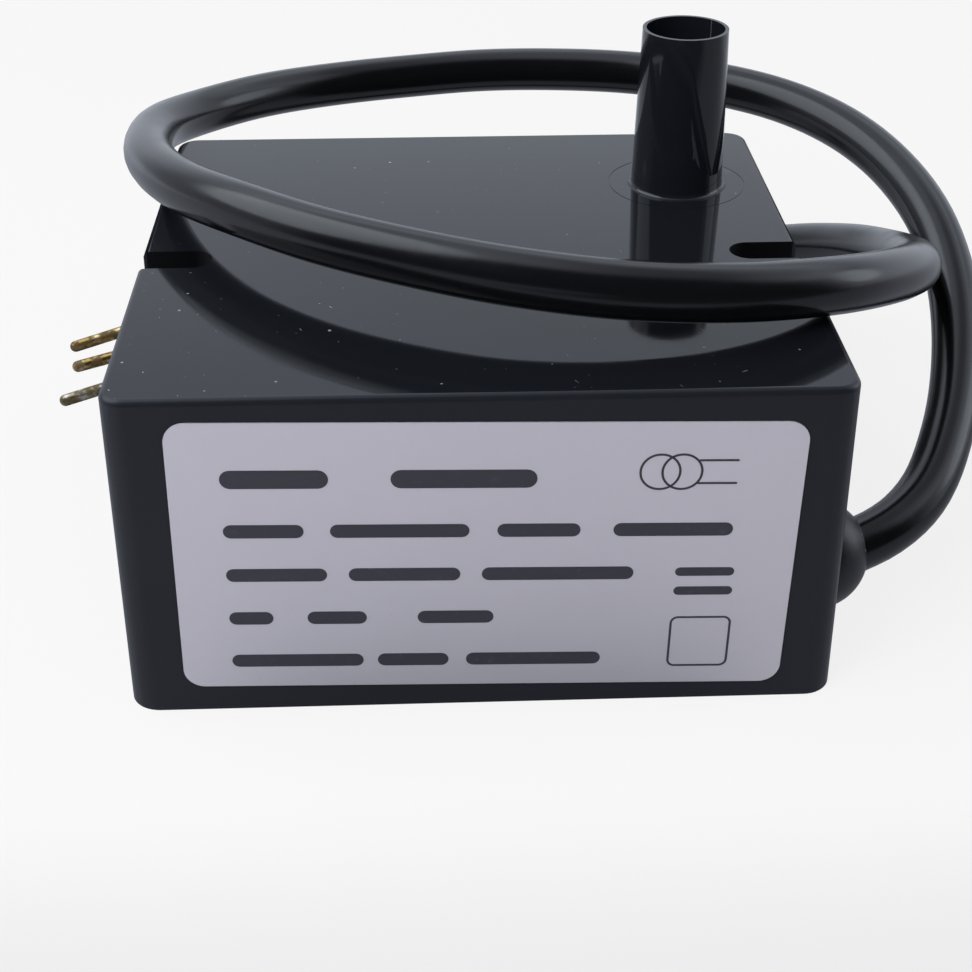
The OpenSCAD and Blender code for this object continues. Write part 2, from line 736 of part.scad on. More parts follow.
module secondary_post_front() color(brass) {
    reach = bobbin_half + conductor_tip[1];
    difference() {
        translate([post_front_x, conductor_tip[1] - 0.6, post_front_z])
            rotate([-90, 0, 0]) cylinder(d = post_d, h = 0.6 - reach + post_bite);
        lead_conductor();
    }
}

module secondary_post_rear() color(brass) {
    difference() {
        translate([tower_x, tower_y, post_rear_z])
            rotate([-90, 0, 0])
                cylinder(d = post_d, h = bobbin_half - flange_t + post_bite - tower_y);
        hv_terminal();
    }
}

// One half of the core: a yoke across an end and half of each leg
module core_half(end) {
    translate([primary_x - core_leg_r, end > 0 ? window_half : -window_half - yoke_t, core_z - core_leg_r])
        cube([leg_pitch + core_leg_d, yoke_t, core_leg_d]);
    for (x = [primary_x, secondary_x])
        translate([x, 0, core_z]) rotate([-90 * end, 0, 0]) cylinder(r = core_leg_r, h = window_half + over);
}

module core_half_front() color(ferrite) {
    core_half(-1);
}

module core_half_rear() color(ferrite) {
    core_half(1);
}

// Places children on a bobbin's front end, with +Z to the rear along its axis
module on_leg(x, half) {
    translate([x, -half, core_z]) rotate([-90, 0, 0]) children();
}

module round_flange(r) {
    difference() {
        cylinder(r = r, h = flange_t);
        translate([0, 0, -over]) cylinder(r = tube_in_r, h = flange_t + 2 * over);
    }
}

module bobbin_tube(half) {
    difference() {
        cylinder(r = tube_out_r, h = 2 * half);
        translate([0, 0, -over]) cylinder(r = tube_in_r, h = 2 * half + 2 * over);
    }
}

// A bobbin and its winding as one plain outer shape, for the potting to run round
module bobbin_outside(x, half, flange_r, wound_r) {
    on_leg(x, half) {
        cylinder(r = wound_r, h = 2 * half);
        if (flange_r > 0) for (z = [0, 2 * half - flange_t]) translate([0, 0, z])
            cylinder(r = flange_r, h = flange_t);
    }
}

// The secondary's square end flanges and round section walls, unbored
module secondary_plates() {
    on_leg(secondary_x, bobbin_half) {
        for (z = [0, 2 * bobbin_half - flange_t]) translate([-flange_half, -flange_half, z])
            cube([2 * flange_half, 2 * flange_half, flange_t]);
        for (i = [1:secondary_sections - 1]) translate([0, 0, i * section_pitch])
            cylinder(r = secondary_wall_r, h = flange_t);
    }
}

module primary_bobbin() color("#d8d4c8") {
    half = primary_len / 2;
    difference() {
        on_leg(primary_x, half) {
            bobbin_tube(half);
            round_flange(primary_flange_r);
            translate([0, 0, 2 * half - flange_t]) round_flange(primary_flange_r);
        }
        primary_wires();
    }
}

module primary_winding() color(copper) {
    half = primary_len / 2;
    on_leg(primary_x, half) translate([0, 0, flange_t]) difference() {
        cylinder(r = primary_wound_r, h = 2 * (half - flange_t));
        translate([0, 0, -over]) cylinder(r = tube_out_r, h = 2 * half);
    }
}

// The primary's two ends rise from its flanges through the board
module primary_wires() color(copper) {
    low = core_z + primary_wound_r - 0.6;
    for (y = [-wire_half, wire_half])
        translate([primary_x, y, low]) cylinder(d = wire_d, h = board_top + leg_out - low);
}

module secondary_bobbin() color("#d8d4c8") {
    difference() {
        union() {
            secondary_plates();
            on_leg(secondary_x, bobbin_half) cylinder(r = tube_out_r, h = 2 * bobbin_half);
        }
        on_leg(secondary_x, bobbin_half) translate([0, 0, -over])
            cylinder(r = tube_in_r, h = 2 * bobbin_half + 2 * over);
        secondary_post_front();
        secondary_post_rear();
    }
}

// One ring of fine wire in each section
module secondary_winding() color(copper) {
    on_leg(secondary_x, bobbin_half) for (i = [0:secondary_sections - 1])
        translate([0, 0, i * section_pitch + flange_t]) difference() {
            cylinder(r = secondary_wound_r, h = section_pitch - flange_t);
            translate([0, 0, -over]) cylinder(r = tube_out_r, h = section_pitch + 2 * over);
        }
}

// The board's outline, notched round the left slot's pocket
module board_blank() {
    notch = board_notch_clear + wall;
    translate([0, 0, board_under]) linear_extrude(board_t) difference() {
        translate([board_left, board_front])
            square([board_right - board_left, board_rear - board_front]);
        mirror([1, 0]) slot_shape(notch);
    }
}

module circuit_board() color("#2f5d3a") {
    difference() {
        board_blank();
        legs(all_legs, over);
        primary_wires();
        earth_strap();
        for (y = [rear_pin_y, middle_pin_y, earth_pin_y])
            translate([pin_leg_x, y, board_under - over]) cylinder(d = pin_d, h = board_t + 2 * over);
    }
}

// Legs that hang from the board's far side down to below the board
module legs(points, reach) {
    for (p = points) translate([p[0], p[1], board_under - reach])
        cylinder(d = leg_d, h = reach + board_t + leg_out);
}

module block(at, size) {
    translate([at[0] - size[0] / 2, at[1] - size[1] / 2, hang_top - size[2]]) cube(size);
}

// A round body that lies along Y under the board, on two legs
module lying_body(at, d, length, points) {
    z = hang_top - d / 2;
    translate([at[0], at[1] - length / 2, z]) rotate([-90, 0, 0]) cylinder(d = d, h = length);
    reach = (points[1][1] - points[0][1]) / 2;
    translate([at[0], at[1] - reach, z]) rotate([-90, 0, 0]) cylinder(d = leg_d, h = 2 * reach);
    for (end = [0, 1]) elbow(points[end], z, end);
}

// A leg from the board down to a bend, where a wire comes in level from the other end
module elbow(at, z, end) {
    translate([at[0], at[1], z]) {
        rotate([end > 0 ? -45 : 45, 0, 0]) sphere(d = leg_d);
        cylinder(d = leg_d, h = board_top + leg_out - z);
    }
}

module discharge_capacitor() color("#3b6ea5") {
    block(discharge_at, discharge_cap);
    legs(discharge_legs, leg_gap);
}

module suppression_capacitor() color("#c9a227") {
    block(suppression_at, suppression_cap);
    legs(suppression_legs, leg_gap);
}

module fuse() color("#d9d4cc") {
    lying_body(fuse_at, fuse_d, fuse_len, fuse_legs);
}

module varistor() color("#2b5ea8") {
    translate([varistor_at[0] - varistor_t / 2, varistor_at[1], hang_top - varistor_d / 2])
        rotate([0, 90, 0]) cylinder(d = varistor_d, h = varistor_t);
    legs(varistor_legs, leg_gap + varistor_d / 4);
}

module rectifier_diodes() color("#2b2b2e") {
    for (i = [0:3]) lying_body([diodes_at[0] + (i - 1.5) * diode_pitch, diodes_at[1]], diode_d,
        diode_len, [diode_legs[2 * i], diode_legs[2 * i + 1]]);
}

module thyristor_body() color("#2b2b2e") {
    block(thyristor_at, thyristor);
    legs(thyristor_legs, leg_gap);
}

// A bent plate that the thyristor's back is fixed to
module heat_sink() color("#b9bcc2") {
    block([thyristor_at[0], thyristor_at[1] - thyristor[1] / 2 - heat_sink_size[1] / 2], heat_sink_size);
    foot = 5;
    translate([thyristor_at[0] - heat_sink_size[0] / 2, thyristor_at[1] - thyristor[1] / 2 - heat_sink_size[1],
        hang_top - heat_sink_size[2]]) cube([heat_sink_size[0], foot, heat_sink_size[1]]);
}

module charge_resistor() color("#8a6f57") {
    lying_body(charge_resistor_at, charge_resistor_d, charge_resistor_len, charge_resistor_legs);
}

module gate_resistors() color("#c7a77c") {
    for (i = [0, 1]) lying_body([gate_resistors_at[0] + i * gate_resistor_pitch, gate_resistors_at[1]],
        gate_resistor_d, gate_resistor_len, [gate_resistor_legs[2 * i], gate_resistor_legs[2 * i + 1]]);
}

module diac() color("#3b6ea5") {
    lying_body(diac_at, diac_d, diac_len, diac_legs);
}

module choke_core() color(ferrite) {
    translate([choke_at[0], choke_at[1], hang_top - choke_rod_len]) cylinder(d = choke_rod_d, h = choke_rod_len);
}

module choke_winding() color(copper) {
    clear = 1;
    height = choke_rod_len - 2 * clear;
    translate([choke_at[0], choke_at[1], hang_top - choke_rod_len + clear]) difference() {
        cylinder(d = choke_wound_d, h = height);
        translate([0, 0, -over]) cylinder(d = choke_rod_d, h = height + 2 * over);
    }
    for (side = [0, 1]) {
        p = choke_legs[side];
        z = hang_top - clear - leg_d;
        inner = choke_at[1] + (side * 2 - 1) * (choke_wound_d / 2 - 0.5);
        translate([p[0], min(inner, p[1]), z]) rotate([-90, 0, 0]) cylinder(d = leg_d, h = abs(p[1] - inner));
        elbow(p, z, side);
    }
}

module components() {
    discharge_capacitor();
    suppression_capacitor();
    fuse();
    varistor();
    rectifier_diodes();
    thyristor_body();
    heat_sink();
    charge_resistor();
    gate_resistors();
    diac();
    choke_core();
    choke_winding();
}

// A strap from the board down to the front yoke
module earth_strap() color(copper) {
    low = core_z + core_leg_r;
    translate([strap_at[0], strap_at[1] - strap_w / 2, low]) {
        cube([strap_t, strap_w, board_top + leg_out - low]);
        cube([strap_foot, strap_w, strap_t]);
    }
}

case();
potting_resin();
rating_plate();
supply_pin_rear();
supply_pin_middle();
earth_pin();
lead_outlet();
hv_lead();
lead_inner_end();
lead_conductor();
plug_boot();
plug_socket();
hv_terminal();
secondary_post_front();
secondary_post_rear();
core_half_front();
core_half_rear();
primary_bobbin();
primary_winding();
primary_wires();
secondary_bobbin();
secondary_winding();
circuit_board();
suppression_capacitor();
discharge_capacitor();
fuse();
varistor();
rectifier_diodes();
thyristor_body();
heat_sink();
charge_resistor();
gate_resistors();
diac();
choke_core();
choke_winding();
earth_strap();
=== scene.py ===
"""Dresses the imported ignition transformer: materials, lead, rating plate, stage and camera."""
import math

import bpy
from mathutils import Matrix, Vector


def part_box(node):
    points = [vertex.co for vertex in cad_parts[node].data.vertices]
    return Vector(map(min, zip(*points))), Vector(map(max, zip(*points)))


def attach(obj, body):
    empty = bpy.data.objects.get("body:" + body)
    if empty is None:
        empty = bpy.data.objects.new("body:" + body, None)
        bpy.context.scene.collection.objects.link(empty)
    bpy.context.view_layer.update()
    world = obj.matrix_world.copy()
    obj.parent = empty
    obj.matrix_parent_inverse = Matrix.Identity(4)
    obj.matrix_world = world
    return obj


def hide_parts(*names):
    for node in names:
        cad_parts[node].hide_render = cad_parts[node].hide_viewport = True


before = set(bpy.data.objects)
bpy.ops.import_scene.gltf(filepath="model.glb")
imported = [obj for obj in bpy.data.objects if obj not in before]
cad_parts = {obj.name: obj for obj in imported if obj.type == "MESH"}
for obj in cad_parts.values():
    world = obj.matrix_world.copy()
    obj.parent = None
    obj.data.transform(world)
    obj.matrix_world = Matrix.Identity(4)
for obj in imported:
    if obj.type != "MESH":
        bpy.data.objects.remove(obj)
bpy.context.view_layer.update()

bl_info = {
    "name": "Ignition transformer",
    "version": (1, 0, 0),
    "blender": (4, 5, 0),
    "location": "3D View > Sidebar > Transformer",
    "description": "Dresses a potted ignition transformer and its lead",
    "category": "Object",
}

MM = 0.001
BODY = "root"
# Points of a mesh that are nearer to each other than this are one point
SAME_POINT = 0.002 * MM
# The case's corners stand back from its sides by a hair, and merging over this closes the step
CASE_HAIR = 0.02 * MM
# Faces that turn by less than this from their neighbours join them, in degrees
FLAT_WITHIN = 0.5
# Edges that turn by less than this shade smoothly, in degrees
SMOOTH_WITHIN = 35


# Settings that a user would change

class CaseSettings(bpy.types.PropertyGroup):
    """The moulded case."""

    gloss: bpy.props.FloatProperty(
        name="Top roughness", description="Roughness of the polished top face",
        default=0.05, min=0, max=1)
    satin: bpy.props.FloatProperty(
        name="Side roughness", description="Roughness of the sides", default=0.3, min=0, max=1)
    tint: bpy.props.FloatVectorProperty(
        name="Plastic", description="Colour of the case's plastic", subtype="COLOR",
        default=(0.0078, 0.0088, 0.0118), min=0, max=1)
    dust: bpy.props.FloatProperty(
        name="Dust", description="Strength of the dust on the top face", subtype="FACTOR", default=0.9,
        min=0, max=1)


class PlateSettings(bpy.types.PropertyGroup):
    """The rating plate."""

    foil: bpy.props.FloatVectorProperty(
        name="Foil", description="Colour of the plate's foil", subtype="COLOR",
        default=(0.44, 0.426, 0.48), min=0, max=1)
    ink: bpy.props.FloatVectorProperty(
        name="Ink", description="Colour of the printed bars", subtype="COLOR",
        default=(0.035, 0.035, 0.045), min=0, max=1)
    ink_thickness: bpy.props.FloatProperty(
        name="Ink thickness", description="How far the ink stands on the foil", subtype="DISTANCE",
        unit="LENGTH", default=0.00002, min=0, max=0.0002)


class LeadSettings(bpy.types.PropertyGroup):
    """The high-voltage lead."""

    diameter: bpy.props.FloatProperty(
        name="Diameter", description="Diameter of the lead's jacket", subtype="DISTANCE", unit="LENGTH",
        default=0.007, min=0.006, max=0.008)
    jacket: bpy.props.FloatVectorProperty(
        name="Jacket", description="Colour of the lead's jacket", subtype="COLOR",
        default=(0.0034, 0.0036, 0.0044), min=0, max=1)
    satin: bpy.props.FloatProperty(
        name="Roughness", description="Roughness of the jacket", default=0.19, min=0, max=1)


class StageSettings(bpy.types.PropertyGroup):
    """Floor, background, lamps and camera."""

    floor_size: bpy.props.FloatProperty(
        name="Floor", description="Width of the floor", subtype="DISTANCE", unit="LENGTH", default=6)
    paper: bpy.props.FloatVectorProperty(
        name="Paper", description="Colour of the background", subtype="COLOR",
        default=(0.947, 0.947, 0.947), min=0, max=1)
    studio: bpy.props.FloatVectorProperty(
        name="Studio", description="Tint of the backdrop that reflections show", subtype="COLOR",
        default=(0.92, 0.99, 1.12), min=0, max=2)
    fill: bpy.props.FloatProperty(
        name="Fill light", description="Strength of the light from all round", default=0.42, min=0)
    left_power: bpy.props.FloatProperty(
        name="Left lamp", description="Power of the soft lamp on the left", unit="POWER", default=5)
    right_power: bpy.props.FloatProperty(
        name="Right lamp", description="Power of the soft lamp on the right", unit="POWER", default=0.9)
    front_power: bpy.props.FloatProperty(
        name="Front lamp", description="Power of the soft lamp over the camera", unit="POWER", default=3)


# Shader maths

class Mask:
    """A socket that takes part in written maths, and adds its Math nodes."""

    def __init__(self, finish, socket):
        self.finish = finish
        self.socket = socket

    def maths(self, operation, other, reflected=False):
        first, second = (other, self) if reflected else (self, other)
        return self.finish.node("ShaderNodeMath", {"operation": operation}, {0: first, 1: second})

    def __add__(self, other):
        return self.maths("ADD", other)

    __radd__ = __add__

    def __sub__(self, other):
        return self.maths("SUBTRACT", other)

    def __rsub__(self, other):
        return self.maths("SUBTRACT", other, reflected=True)

    def __mul__(self, other):
        return self.maths("MULTIPLY", other)

    __rmul__ = __mul__

    def __truediv__(self, other):
        return self.maths("DIVIDE", other)

    def __rtruediv__(self, other):
        return self.maths("DIVIDE", other, reflected=True)

    def __lt__(self, other):
        return self.maths("LESS_THAN", other)

    def __gt__(self, other):
        return self.maths("GREATER_THAN", other)

    def higher(self, other):
        return self.maths("MAXIMUM", other)


class Wiring:
    """A node tree, with one method that adds any node."""

    def __init__(self, owner, output):
        owner.use_nodes = True
        self.tree = owner.node_tree
        self.tree.nodes.clear()
        self.output = self.tree.nodes.new(output)

    def node(self, kind, settings=None, inputs=None, output=0):
        """Adds a node: its settings first, then the values or links of its sockets.

        A colour ramp blends between its stops, and holds each colour between its steps.
        """
        made = self.tree.nodes.new(kind)
        for name, value in (settings or {}).items():
            if name == "stops":
                self.set_stops(made.color_ramp, value)
            elif name == "steps":
                made.color_ramp.interpolation = "CONSTANT"
                self.set_stops(made.color_ramp, value)
            else:
                setattr(made, name, value)
        for name, value in (inputs or {}).items():
            if isinstance(value, Mask):
                self.tree.links.new(value.socket, made.inputs[name])
            else:
                made.inputs[name].default_value = value
        return Mask(self, made.outputs[output])

    @staticmethod
    def set_stops(ramp, stops):
        while len(ramp.elements) < len(stops):
            ramp.elements.new(0.5)
        for element, (place, colour) in zip(ramp.elements, stops):
            element.position = place
            element.color = colour

    def ramp(self, value, low, high):
        """0 below low, 1 above high, smooth between."""
        return self.node("ShaderNodeMapRange", {"interpolation_type": "SMOOTHSTEP"}, {
            "Value": value, "From Min": low, "From Max": high})

    def blend(self, factor, first, second):
        """A colour between two colours."""
        return self.node(
            "ShaderNodeMix", {"data_type": "RGBA"}, {0: factor, 6: first, 7: second}, output=2)

    def ray(self, kind):
        """1 for rays of this kind, such as Camera."""
        return self.node("ShaderNodeLightPath", output="Is " + kind + " Ray")

    def join(self, factor, first, second):
        """A shader between two shaders."""
        return self.node("ShaderNodeMixShader", {}, {0: factor, 1: first, 2: second})

    def close(self, shader):
        self.tree.links.new(shader.socket, self.output.inputs["Surface"])


# How many times longer than wide a fibre of dust is
FIBRE_LENGTH = 7


class Finish(Wiring):
    """One material and its nodes."""

    def __init__(self, name):
        self.material = bpy.data.materials.new(name)
        super().__init__(self.material, "ShaderNodeOutputMaterial")

    def place(self):
        """The point on the piece, in metres."""
        return self.node("ShaderNodeTexCoord", output="Object")

    def stretched(self, scale):
        """The point on the piece, scaled along each axis."""
        return self.node("ShaderNodeMapping", {}, {"Vector": self.place(), "Scale": scale})

    def axis(self, letter):
        """One coordinate of the point, in metres."""
        return self.node("ShaderNodeSeparateXYZ", {}, {0: self.place()}, output=letter)

    def noise(self, size, detail=3.0, roughness=0.5, vector=None):
        """Noise from 0 to 1 with features of about this size in metres."""
        return self.node("ShaderNodeTexNoise", {}, {
            "Vector": vector or self.place(),
            "Scale": 1 / size,
            "Detail": detail,
            "Roughness": roughness})

    def specks(self, spacing, size, share, vector=None, dimensions="3D"):
        """Small round specks of varied size in a share of the cells, in 2D for a level face."""
        cell = {"voronoi_dimensions": dimensions}
        where = {"Vector": vector or self.place(), "Scale": 1 / spacing}
        cells = self.node("ShaderNodeTexVoronoi", cell, where)
        chance = self.node("ShaderNodeTexVoronoi", cell, where, output="Color")
        pick = self.node("ShaderNodeSeparateColor", {}, {0: chance})
        reach = size / spacing
        spread = self.node("ShaderNodeSeparateColor", {}, {0: chance}, output=1) * reach
        return (cells < spread) * (pick < share)

    def fibres(self, spacing, width, share, turn):
        """Short fibres on a level face, all laid one way."""
        laid = self.node("ShaderNodeMapping", {"vector_type": "TEXTURE"}, {
            "Vector": self.place(), "Scale": (1, FIBRE_LENGTH, 1), "Rotation": (0, 0, turn)})
        return self.specks(spacing, width, share, laid, "2D")

    def bump(self, height, strength, distance, under=None):
        """A normal bent by a height."""
        inputs = {"Height": height, "Strength": strength, "Distance": distance}
        if under:
            inputs["Normal"] = under
        return self.node("ShaderNodeBump", {}, inputs)

    def surface(self, **sockets):
        """The Principled shader, with underscores for the spaces in its sockets' names."""
        inputs = {name.replace("_", " "): value for name, value in sockets.items()}
        self.close(self.node("ShaderNodeBsdfPrincipled", {}, inputs))
        return self.material


def solid(colour):
    """A colour with full alpha."""
    return (*colour, 1.0)


def shaded(colour, share):
    """A colour at a share of its brightness, with full alpha."""
    return solid(share * part for part in colour)


# Modelling helpers

def select_none():
    if bpy.context.object and bpy.context.object.mode != "OBJECT":
        bpy.ops.object.mode_set(mode="OBJECT")
    bpy.ops.object.select_all(action="DESELECT")


def select_only(*objects):
    """Deselects everything, then selects these and makes the first active."""
    select_none()
    for piece in objects:
        piece.select_set(True)
    bpy.context.view_layer.objects.active = objects[0]


def paint(piece, *materials):
    piece.data.materials.clear()
    for material in materials:
        piece.data.materials.append(material)


def smooth(piece, degrees=SMOOTH_WITHIN):
    """Smooth shading that keeps flat faces flat and sharp edges sharp."""
    select_only(piece)
    bpy.ops.object.shade_smooth_by_angle(angle=math.radians(degrees))
    bpy.ops.object.modifier_add(type="WEIGHTED_NORMAL")
    piece.modifiers[-1].keep_sharp = True
    bpy.ops.object.modifier_apply(modifier=piece.modifiers[-1].name)


def seat(piece, *nodes, slot):
    """A finished piece rides on the body and stands for its nodes; its slot is not used."""
    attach(piece, BODY)
    if nodes:
        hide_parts(*nodes)


def merged_copy(node, name, threshold=SAME_POINT):
    """A copy of a CAD node with its loose triangles merged and its flat faces joined."""
    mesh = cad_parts[node].data.copy()
    piece = bpy.data.objects.new(name, mesh)
    bpy.context.scene.collection.objects.link(piece)
    select_only(piece)
    bpy.ops.object.mode_set(mode="EDIT")
    bpy.ops.mesh.select_all(action="SELECT")
    bpy.ops.mesh.remove_doubles(threshold=threshold)
    bpy.ops.mesh.dissolve_limited(angle_limit=math.radians(FLAT_WITHIN))
    bpy.ops.object.mode_set(mode="OBJECT")
    return piece


def dressed(node, name, material, slot, degrees=SMOOTH_WITHIN):
    """A node's merged and smoothed copy in one material, standing for the node."""
    piece = merged_copy(node, name)
    paint(piece, material)
    smooth(piece, degrees)
    seat(piece, node, slot=slot)
    return piece


# Materials of the case, the plate and the lead

# The fixing slots' walls: their middle along Y, reach from it, outermost X and added roughness
SLOT_Y = -3.25 * MM
SLOT_REACH = 2.75 * MM
SLOT_OUTER = 42.1 * MM
SLOT_DULLNESS = 0.4


def polished_plastic(settings):
    """The top face and the tower: glossy, with faint waves and smears, fibres and grains of dust."""
    finish = Finish("polished_plastic")
    smear = finish.ramp(finish.noise(0.018, 5, 0.6), 0.45, 0.75)
    coarse = finish.specks(0.006, 0.0002, 0.35, dimensions="2D")
    fine = finish.specks(0.0024, 0.0001, 0.25, dimensions="2D")
    fibres = finish.fibres(0.005, 0.00007, 0.3, 0.5)
    crossing = finish.fibres(0.006, 0.00007, 0.3, 2.1)
    grains = coarse.higher(fine).higher(fibres).higher(crossing)
    patch = finish.ramp(finish.noise(0.022, 2), 0.45, 0.65)
    dust = grains * (0.15 + patch * 0.65) * settings.dust
    lint = finish.ramp(finish.noise(0.0035, 6, 0.75), 0.7, 0.78) * 0.12
    colour = finish.blend(dust.higher(lint), solid(settings.tint), (0.42, 0.41, 0.38, 1))
    waves = finish.bump(finish.noise(0.014, 2), 0.035, 0.0002)
    grain = finish.bump(finish.noise(0.0007, 2), 0.015, 0.00005, waves)
    return finish.surface(
        Base_Color=colour,
        Roughness=settings.gloss + smear * 0.05 + dust * 0.4,
        IOR=1.5,
        Normal=grain)


def satin_plastic(settings):
    """The sides: a finer grain and a duller shine, with rubbed patches, and matt slots painted near
    black as shade.
    """
    finish = Finish("satin_plastic")
    cloud = finish.noise(0.03, 4)
    rubbed = finish.ramp(finish.noise(0.008, 6, 0.6), 0.55, 0.75)
    across = finish.axis("X")
    off_slot = finish.axis("Y") - SLOT_Y
    in_shaded_slots = (off_slot * off_slot < SLOT_REACH ** 2) * (across * across < SLOT_OUTER ** 2)
    mixed = finish.blend(cloud, solid(settings.tint), (0.013, 0.014, 0.019, 1))
    # The slots' walls are painted near black as shade in their recesses.
    colour = finish.blend(in_shaded_slots, mixed, (0.002, 0.002, 0.0025, 1))
    grain = finish.bump(finish.noise(0.0004, 3), 0.12, 0.00008)
    return finish.surface(
        Base_Color=colour,
        Roughness=settings.satin + cloud * 0.06 - rubbed * 0.04 + in_shaded_slots * SLOT_DULLNESS,
        IOR=1.45,
        Specular_IOR_Level=0.4,
        Normal=grain)


def jacket_rubber(settings):
    """The lead's silicone jacket: a soft gloss with handling marks and a few grains of dust."""
    finish = Finish("jacket_rubber")
    handled = finish.ramp(finish.noise(0.006, 5, 0.6), 0.4, 0.7)
    lint = finish.specks(0.009, 0.00022, 0.3)
    colour = finish.blend(lint * 0.25, solid(settings.jacket), (0.2, 0.2, 0.2, 1))
    skin = finish.bump(finish.noise(0.0011, 3), 0.05, 0.00006)
    swell = finish.bump(finish.noise(0.009, 2), 0.05, 0.0003, skin)
    return finish.surface(
        Base_Color=colour,
        Roughness=settings.satin + handled * 0.05,
        IOR=1.5,
        Normal=swell)


def moulded_rubber(name, colour, roughness):
    """Black moulded rubber with a fine grain and a bloom in patches."""
    finish = Finish(name)
    bloom = finish.ramp(finish.noise(0.004, 4, 0.6), 0.5, 0.8)
    mixed = finish.blend(bloom * 0.3, solid(colour), (0.04, 0.04, 0.045, 1))
    grain = finish.bump(finish.noise(0.0005, 3), 0.15, 0.00008)
    return finish.surface(Base_Color=mixed, Roughness=roughness + bloom * 0.1, Normal=grain)


def plate_foil(settings):
    """Printed foil: lilac-grey, with fine specks, faint clouds and a soft sheen."""
    finish = Finish("plate_foil")
    cloud = finish.noise(0.02, 3)
    paler = finish.specks(0.0016, 0.00014, 0.4)
    darker = finish.specks(0.0023, 0.00012, 0.3)
    base = finish.blend(cloud * 0.4, solid(settings.foil), (0.39, 0.38, 0.435, 1))
    freckled = finish.blend(paler * 0.22, base, (0.55, 0.55, 0.63, 1))
    colour = finish.blend(darker * 0.3, freckled, (0.2, 0.2, 0.25, 1))
    ripple = finish.bump(finish.noise(0.0003, 2), 0.05, 0.00003)
    return finish.surface(Base_Color=colour, Roughness=0.44 + cloud * 0.08, Normal=ripple)


def plate_ink(settings):
    """Screen-printed ink: dark, slightly uneven."""
    finish = Finish("plate_ink")
    wear = finish.ramp(finish.noise(0.0012, 4, 0.7), 0.55, 0.85)
    colour = finish.blend(wear * 0.35, solid(settings.ink), (0.12, 0.12, 0.15, 1))
    return finish.surface(
        Base_Color=colour, Roughness=0.5 + wear * 0.1,
        Normal=finish.bump(wear, 0.1, 0.00002))


def stained_brass(name, metal, worn):
    """A pin: drawn brass with olive-brown stains, paler worn patches and fine draw lines."""
    finish = Finish(name)
    stain = finish.ramp(finish.noise(0.0013, 4, 0.6), 0.42, 0.54)
    rust = finish.ramp(finish.noise(0.0009, 3, 0.5), 0.5, 0.62)
    pale = finish.ramp(finish.noise(0.0017, 2), 0.48, 0.62)
    bright = finish.blend(pale * 0.8, solid(metal), solid(worn))
    olive = finish.blend(rust * 0.8, (0.075, 0.055, 0.018, 1), (0.12, 0.045, 0.015, 1))
    colour = finish.blend(stain * 0.85, bright, olive)
    lines = finish.bump(finish.noise(0.0003, 4), 0.2, 0.00004)
    return finish.surface(
        Base_Color=colour, Metallic=0.95 - stain * 0.4, Roughness=0.3 + stain * 0.3, Normal=lines)


# Materials of the pieces inside the potting

# The scale at which a wave texture has one wave per metre, and the scale of the board's weave
ONE_WAVE = math.pi / 10
WEAVE_SCALE = 260


def turned_brass():
    """Turned brass with fine rings and dull patches."""
    finish = Finish("turned_brass")
    dull = finish.ramp(finish.noise(0.003, 4), 0.4, 0.7)
    colour = finish.blend(dull * 0.6, (0.6, 0.43, 0.17, 1), (0.33, 0.22, 0.09, 1))
    rings = finish.bump(finish.noise(0.0004, 2), 0.15, 0.00003)
    return finish.surface(Base_Color=colour, Metallic=1.0, Roughness=0.3 + dull * 0.25, Normal=rings)


def drawn_copper():
    """Bare drawn copper with darker oxide clouds."""
    finish = Finish("drawn_copper")
    oxide = finish.ramp(finish.noise(0.0025, 5, 0.6), 0.4, 0.7)
    colour = finish.blend(oxide * 0.7, (0.72, 0.31, 0.15, 1), (0.3, 0.12, 0.06, 1))
    lines = finish.bump(finish.noise(0.0003, 3), 0.2, 0.00003)
    return finish.surface(Base_Color=colour, Metallic=1.0, Roughness=0.28 + oxide * 0.25, Normal=lines)


def wound_wire(name, pitch, letter):
    """Enamelled wire laid turn beside turn along an axis, with painted shade in the grooves between
    turns.
    """
    finish = Finish(name)
    turns = finish.node("ShaderNodeTexWave", {"bands_direction": letter}, {
        "Vector": finish.place(), "Scale": ONE_WAVE / pitch, "Distortion": 0.4, "Detail Scale": 2})
    tone = finish.noise(0.004, 4)
    lit = finish.blend(tone, (0.5, 0.19, 0.07, 1), (0.62, 0.27, 0.1, 1))
    # The grooves between the turns are painted dark as shade.
    colour = finish.blend(1 - turns, lit, (0.16, 0.05, 0.02, 1))
    laid = finish.bump(turns, 0.6, pitch / 4)
    return finish.surface(Base_Color=colour, Metallic=0.8, Roughness=0.28 + tone * 0.15, Normal=laid)


def pressed_ferrite():
    """Pressed ferrite: dark, matt and finely pitted."""
    finish = Finish("pressed_ferrite")
    cloud = finish.noise(0.006, 4)
    pits = finish.specks(0.0009, 0.00018, 0.35)
    colour = finish.blend(cloud, (0.03, 0.03, 0.033, 1), (0.055, 0.054, 0.056, 1))
    pitted = finish.bump(1 - pits, 0.5, 0.0001, finish.bump(finish.noise(0.0003, 3), 0.2, 0.00003))
    return finish.surface(Base_Color=colour, Roughness=0.58 + cloud * 0.15, Normal=pitted)


def moulded_body(name, colour, shade, roughness):
    """Moulded or dipped plastic: clouded, faintly pebbled and rubbed in places."""
    finish = Finish(name)
    cloud = finish.noise(0.004, 4, 0.6)
    rubbed = finish.ramp(finish.noise(0.0015, 5, 0.7), 0.6, 0.75)
    mixed = finish.blend(cloud.higher(rubbed * 0.6), solid(colour), solid(shade))
    pebbled = finish.bump(finish.noise(0.0005, 3), 0.15, 0.00005)
    return finish.surface(Base_Color=mixed, Roughness=roughness + rubbed * 0.1, Normal=pebbled)


